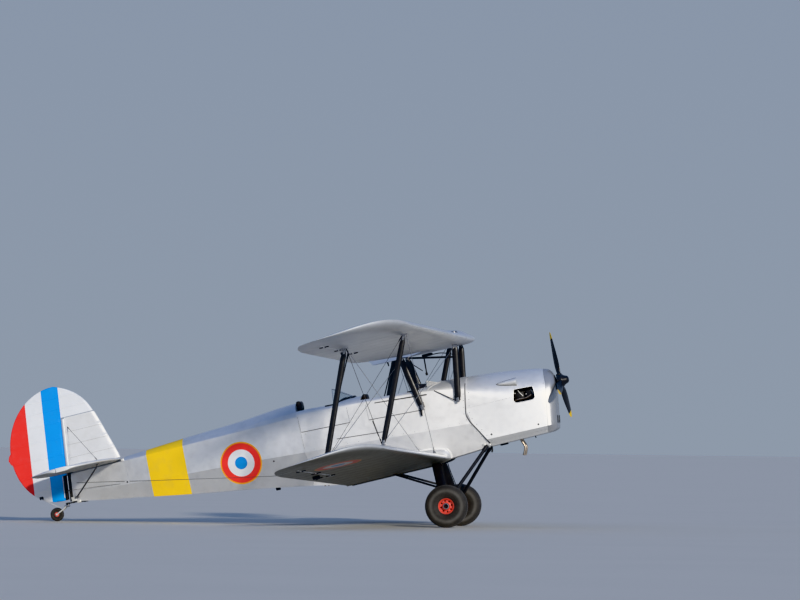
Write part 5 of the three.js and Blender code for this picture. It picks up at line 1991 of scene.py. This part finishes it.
def incidenceStays():
    (frontFoot, frontTop), (rearFoot, rearTop) = (strutEnds(*sparPlaces[place])
        for place in ("front", "rear"))
    start = frontFoot + Vector((-0.01, 0.012, 0.02))
    bm = stay(bmesh.new(), rearTop + Vector((0.02, 0.012, -0.01)), start, 0.0028)
    stay(bm, frontTop + Vector((-0.02, -0.012, -0.01)), rearFoot + Vector((0.01, -0.012, 0.02)), 0.0022)
    way = (rearTop - frontFoot).normalized()
    return rod(bm, start + way * 0.1, start + way * 0.3, 0.0065, sides=10)


bothSides(lambda: twoStays("flying", upperRoot, 0, False), "flying_stays", "steel_wire", "steel",
          ["flying_wire_{hand}"])
bothSides(lambda: twoStays("landing", lowerRoot, 1, True), "landing_stays", "steel_wire", "steel",
          ["landing_wire_{hand}"])
bothSides(incidenceStays, "incidence_stays", "steel_wire", "dull")


# Root plates where the flying wires leave the fuselage, and the braces between the cabane struts
@builder
def stayPlates(bm):
    for name, place in stayRoots.items():
        flying = name.startswith("flying")
        lug(bm, place, [(-0.022, -0.045), (0.022, -0.045), (0.01, 0.012), (-0.012, 0.012)] if flying else
            [(-0.016, -0.014), (0.016, -0.014), (0.02, 0.05), (-0.02, 0.05)], 0.0025)


@builder
def cabaneBraces(bm):
    rod(bm, (-0.165, -0.402, 1.908), (0.487, -0.402, 1.772), 0.0065, sides=12)
    rod(bm, (0.13, -0.372, 1.423), (0.384, -0.398, 1.228), 0.0052, sides=10)


@builder
def tailWires(bm):
    stay(bm, (-4.456, -0.024, 2.067), (-4.06, -0.885, 1.556), 0.0022, 0.0045)


bothSides(stayPlates, "stay_plates", "steel_wire", "steel")
bothSides(cabaneBraces, "cabane_braces", "strut_black", "black")
bothSides(tailWires, "tail_wires", "steel_wire", "dull")


# Fuel cock, sight gauge and filler on the centre section
@builder
def fuelCock(bm):
    block(bm, (0.052, -0.06, 1.866), (0.182, 0.06, 1.9), 0.012)
    rod(bm, (-0.15, -0.16, 1.885), (0.02, -0.05, 1.705), 0.0055, sides=10)
    tube(bm, [(0.07, 0, 1.88), (0.064, 0, 1.78), (0.056, 0, 1.65)], 0.0085, 12, 4)
    turned(bm, [(0, 0), (0.013, 0), (0.015, 0.006), (0.015, 0.03), (0.01, 0.036), (0, 0.036)],
           (0.055, 0, 1.64), (0.03, 0, 1), 16)
    tube(bm, [(0.18, 0, 1.875), (0.3, 0.02, 1.865), (0.43, 0.16, 1.8), (0.455, 0.36, 1.62),
        (0.4, 0.38, 1.36)], 0.006, 10, 6)


capStack = [(0, -0.01), (0.048, -0.01), (0.048, 0.006), (0.043, 0.01), (0.04, 0.01), (0.04, 0.02),
    (0.036, 0.024), (0.012, 0.026), (0, 0.026)]


@builder
def fuelFiller(bm):
    turned(bm, capStack, foilPoint(upperRoot, 0.0, 0.3, True, True), (0.05, 0, 1), 32)


put(fuelCock(), "fuel_cock", "strut_black", "dull")
put(fuelFiller(), "fuel_filler", "steel_wire", "steel")
print("rigging and fuel fittings made")


# Nose fittings: scoops, exhausts, drains, latches and screws
scoopSizes = {"tail": (0.888, 1.318), "mouth": (1.133, 1.298), "stand": 0.008, "radius": 0.046,
    "wall": 0.005, "curve": 0.62}


def scoopEnds():
    (tailAlong, tailUp), (mouthAlong, mouthUp) = scoopSizes["tail"], scoopSizes["mouth"]
    return (Vector((tailAlong, -skinOut(cowlRows, tailAlong, tailUp), tailUp)),
            Vector((mouthAlong, -skinOut(cowlRows, mouthAlong, mouthUp) - scoopSizes["stand"], mouthUp)))


@builder
def scoop(bm):
    tail, mouth = scoopEnds()
    length, radius, curve = (mouth - tail).length, scoopSizes["radius"], scoopSizes["curve"]
    inner = radius - scoopSizes["wall"]
    outside = [(radius * (k / 12) ** curve, length * k / 12) for k in range(13)]
    inside = [(inner * (k / 12) ** curve, length * (0.03 + 0.97 * k / 12)) for k in range(12, 5, -1)]
    turned(bm, outside + inside + [(0, length * 0.52)], tail, mouth - tail, 36)


# The dark inside of the scoop's mouth and the line round its foot
def scoopShade():
    tail, mouth = scoopEnds()
    way = (mouth - tail).normalized()
    bm, path = rod(bmesh.new(), mouth - way * 0.034, mouth - way * 0.03, 0.0375, sides=32), []
    for k in range(-12, 13):
        at, high = tail.lerp(mouth, abs(k) / 12), 0.047 * copysign(abs(k / 12) ** 0.62, k)
        path.append((at.x, -skinOut(cowlRows, at.x, at.z + high) - 0.0005, at.z + high))
    return tube(bm, path, 0.0028, 8, 2)


@builder
def exhausts(bm):
    for out in (-0.115, 0.115):
        tube(bm, [(1.0, out, 0.64), (1.02, out, 0.57), (1.041, out, 0.5), (1.018, out, 0.43),
                  (1.0, out, 0.4)], 0.0135, 16, 5)
        turned(bm, [(0.0135, -0.012), (0.022, -0.012), (0.022, 0.006), (0.0135, 0.006)],
            (1.008, out, 0.605), (0.1, 0, -1), 24)


# Dark discs of painted shade inside the pipes' ends
@builder
def exhaustMouths(bm):
    for out in (-0.115, 0.115):
        rod(bm, (1.0, out, 0.3992), (1.001, out, 0.403), 0.0108, sides=20)


@builder
def drains(bm):
    tube(bm, [(0.64, -0.15, 0.62), (0.642, -0.15, 0.56), (0.63, -0.15, 0.525)], 0.0105, 12, 4)
    block(bm, (0.745, -0.08, 0.58), (0.835, 0.08, 0.597), 0.004)
    tube(bm, [(1.18, 0.05, 0.61), (1.185, 0.05, 0.575)], 0.006, 10, 2)
    block(bm, (-2.095, -0.05, 0.69), (-2.045, 0.05, 0.76), 0.008)


put(exhausts(), "exhaust_pipes", "engine", "tinted")
put(exhaustMouths(), "exhaust_mouths", "engine", "dark")
put(drains(), "belly_drains", "engine", "dull")
bothSides(scoop, "side_scoop", "cowl_metal", "cowl", sharp=50)
bothSides(scoopShade, "side_scoop_shade", "engine", "dark")


# A round fastener standing on the skin of a body section
def fastener(bm, rows, along, up, radius=0.0045, high=0.0016):
    out = -skinOut(rows, along, up)
    rod(bm, (along, out + 0.003, up), (along, out - high, up), radius, radius * 0.85, sides=8)
    return bm


screwUps = {"cowl": (0.66, 0.74, 0.82, 0.9, 0.98, 1.06, 1.14, 1.22, 1.3),
    "bowl": (0.7, 0.8, 0.9, 1.0, 1.1, 1.2)}
screwPitch = 0.14  # along the deck's edge


@builder
def screws(bm):
    for up in screwUps["cowl"]:
        fastener(bm, cowlRows, atJoint(up) + 0.04, up)
        fastener(bm, bodyRows, atJoint(up) - 0.03, up)
    for up in screwUps["bowl"]:
        fastener(bm, cowlRows, atBowl(up) - 0.022, up, 0.004)
    for along in (round(-1.48 + screwPitch * k, 2) for k in range(14)):
        fastener(bm, bodyRows, along, rowAt(bodyRows, along)[3] + 0.02, 0.0036)


# The rear edge of the cowl where it stands off the fuselage: a dark tube of painted shade
@builder
def cowlEdgeShade(bm):
    path = []
    for k in range(19):
        up = 0.622 + 0.8 * k / 18
        along = atJoint(up) - 0.005
        path.append((along, -skinOut(bodyRows, along, up) - 0.004, up))
    tube(bm, path, 0.0085, 10, 3, 0.004)


@builder
def latches(bm):
    for along, up in ((1.282, 0.722), (0.693, 0.736)):
        fastener(bm, cowlRows, along, up, 0.0125, 0.004)
        fastener(bm, cowlRows, along, up, 0.006, 0.007)


bothSides(screws, "cowl_screws", "cowl_metal", "steel")
bothSides(cowlEdgeShade, "cowl_edge_shade", "cowl_metal", "seam")
bothSides(latches, "cowl_latches", "cowl_metal", "seam")


# Light brackets at the gear strut's top, the stern and the tailplane's front
@builder
def brackets(bm):
    block(bm, (0.552, -0.312, 0.622), (0.59, -0.285, 0.648), 0.005)
    block(bm, (0.618, -0.31, 0.606), (0.655, -0.285, 0.634), 0.005)
    block(bm, (-4.612, -0.04, 1.15), (-4.548, -0.024, 1.205), 0.005)
    block(bm, (-4.548, -0.044, 1.118), (-4.5, -0.018, 1.15), 0.005)
    block(bm, (-3.885, -0.135, 1.488), (-3.845, -0.112, 1.52), 0.004)
    rod(bm, (-1.54, -skinOut(bodyRows, -1.54, 1.277) - 0.003, 1.277), (-1.54, -0.3, 1.277), 0.01,
        sides=16)


bothSides(brackets, "light_brackets", "steel_wire", "bright")
print("nose fittings made")


# Doors: hinge lines, edges and the black strip under the front sill
hingeLines = (((-1.585, 1.308), (-0.972, 1.286)), ((-0.736, 1.261), (-0.033, 1.225)),
    ((-1.176, 1.126), (-0.577, 1.077)))
doorEdges = (((-1.59, 1.31), (-1.59, 1.5)), ((-0.972, 1.288), (-0.972, 1.478)),
    ((-0.736, 1.262), (-0.736, 1.458)), ((-0.04, 1.226), (-0.04, 1.415)))


@builder
def doorHinges(bm):
    for a, b in hingeLines:
        seam(bm, bodyRows, rowOfPoints(a, b, 6), 0.0042, 0.0012)


@builder
def doorGaps(bm):
    for a, b in doorEdges:
        seam(bm, bodyRows, rowOfPoints(a, b, 4), 0.0014, 0.0)
    seam(bm, bodyRows, rowOfPoints((-1.596, 0.66), (-1.596, 1.45), 8), 0.0012, 0.0)


def sillStrip():
    bm, points = bmesh.new(), rowOfPoints((-0.62, 1.448), (0.03, 1.398), 8)
    path = [(x, -skinOut(bodyRows, x, z) - 0.001, z) for x, z in points]
    return tube(bm, path, 0.005, 8, 4, 0.0075)


# The stringer that shows through the fabric along the lower side, drawn as a dark line of painted shade
@builder
def lowerStringerShade(bm):
    seam(bm, tailRows, rowOfPoints((-4.5, 1.366), (-3.9, 1.24), 6), 0.003, 0.0002)
    seam(bm, bodyRows, rowOfPoints((-3.84, 1.226), (-2.088, 0.872), 12), 0.003, 0.0002)
    seam(bm, bodyRows, rowOfPoints((-2.088, 0.872), (-1.62, 0.8), 5), 0.003, 0.0002)


bothSides(lowerStringerShade, "lower_stringer_shade", "fuselage_fabric", "seam")
bothSides(doorHinges, "door_hinges", "fuselage_panel", "seam")
bothSides(doorGaps, "door_gaps", "fuselage_panel", "seam")
bothSides(sillStrip, "sill_strip", "fuselage_panel", "dull")


# Small black fittings on the tail and under the wing
@builder
def tailDots(bm):
    fastener(bm, tailRows, -3.868, 1.225, 0.012, 0.004)
    fastener(bm, bodyRows, -2.006, 1.044, 0.0115, 0.004)


def aileronStop():
    p = wingPlace(lowerRoot, 2.5, 0.86, -0.004)
    bm = block(bmesh.new(), (-0.045, -0.016, -0.04), (0.045, 0.016, 0.0), 0.01, at=p)
    return rod(bm, p + Vector((-0.01, 0, -0.044)), p + Vector((0.075, 0, -0.03)), 0.006, sides=10)


bothSides(tailDots, "tail_dots", "strut_black", "dull")
bothSides(aileronStop, "aileron_weight", "strut_black", "dull", body="aileron_lower_{hand}")


# Rudder cables, the elevator's horns and the steering link
def rudderCable(side, hand):
    start = (-3.96, side * skinOut(tailRows, -3.96, 1.222), 1.222)
    end = (hingeAt(1.296) - 0.014, side * 0.09, 1.297)
    bm = tube(bmesh.new(), [start, (-4.3, side * 0.1, 1.262), end], 0.0024, 8, 8)
    piece = put(bm, "rudder_cable_" + hand, "steel_wire", "steel", body=None)
    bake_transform(piece)


for side, hand in hands:
    rudderCable(side, hand)


@sidedBuilder
def elevatorHorns(bm, side):
    lug(bm, (0, side * 0.095, 0), [(-4.53, 1.52), (-4.585, 1.52), (-4.556, 1.452), (-4.544, 1.452)],
        0.004)


@builder
def steeringLink(bm):
    block(bm, (-5.004, -0.012, 1.262), (-4.952, 0.012, 1.3), 0.005)


@builder
def steeringRod(bm):
    tube(bm, [(-4.985, -0.008, 1.272), (-4.9, -0.03, 1.21), (-4.76, -0.056, 1.104)], 0.0048, 8, 4)


# The light tube at the front of the rudder, below the tailplane
@sidedBuilder
def rudderTube(bm, side):
    rod(bm, (hingeAt(1.215) - 0.058, side * 0.02, 1.215), (hingeAt(1.485) - 0.058, side * 0.022, 1.485),
        0.0062, sides=12)


put(rudderTube(), "rudder_tube", "tail_fabric", "bright", body="rudder")
put(elevatorHorns(), "elevator_horns", "strut_black", "black", body="elevator")
put(steeringLink(), "steering_horn", "strut_black", "black", body="rudder")
put(steeringRod(), "steering_rod", "steel_wire", "bright", body="rudder")
print("doors, cables and horns made")
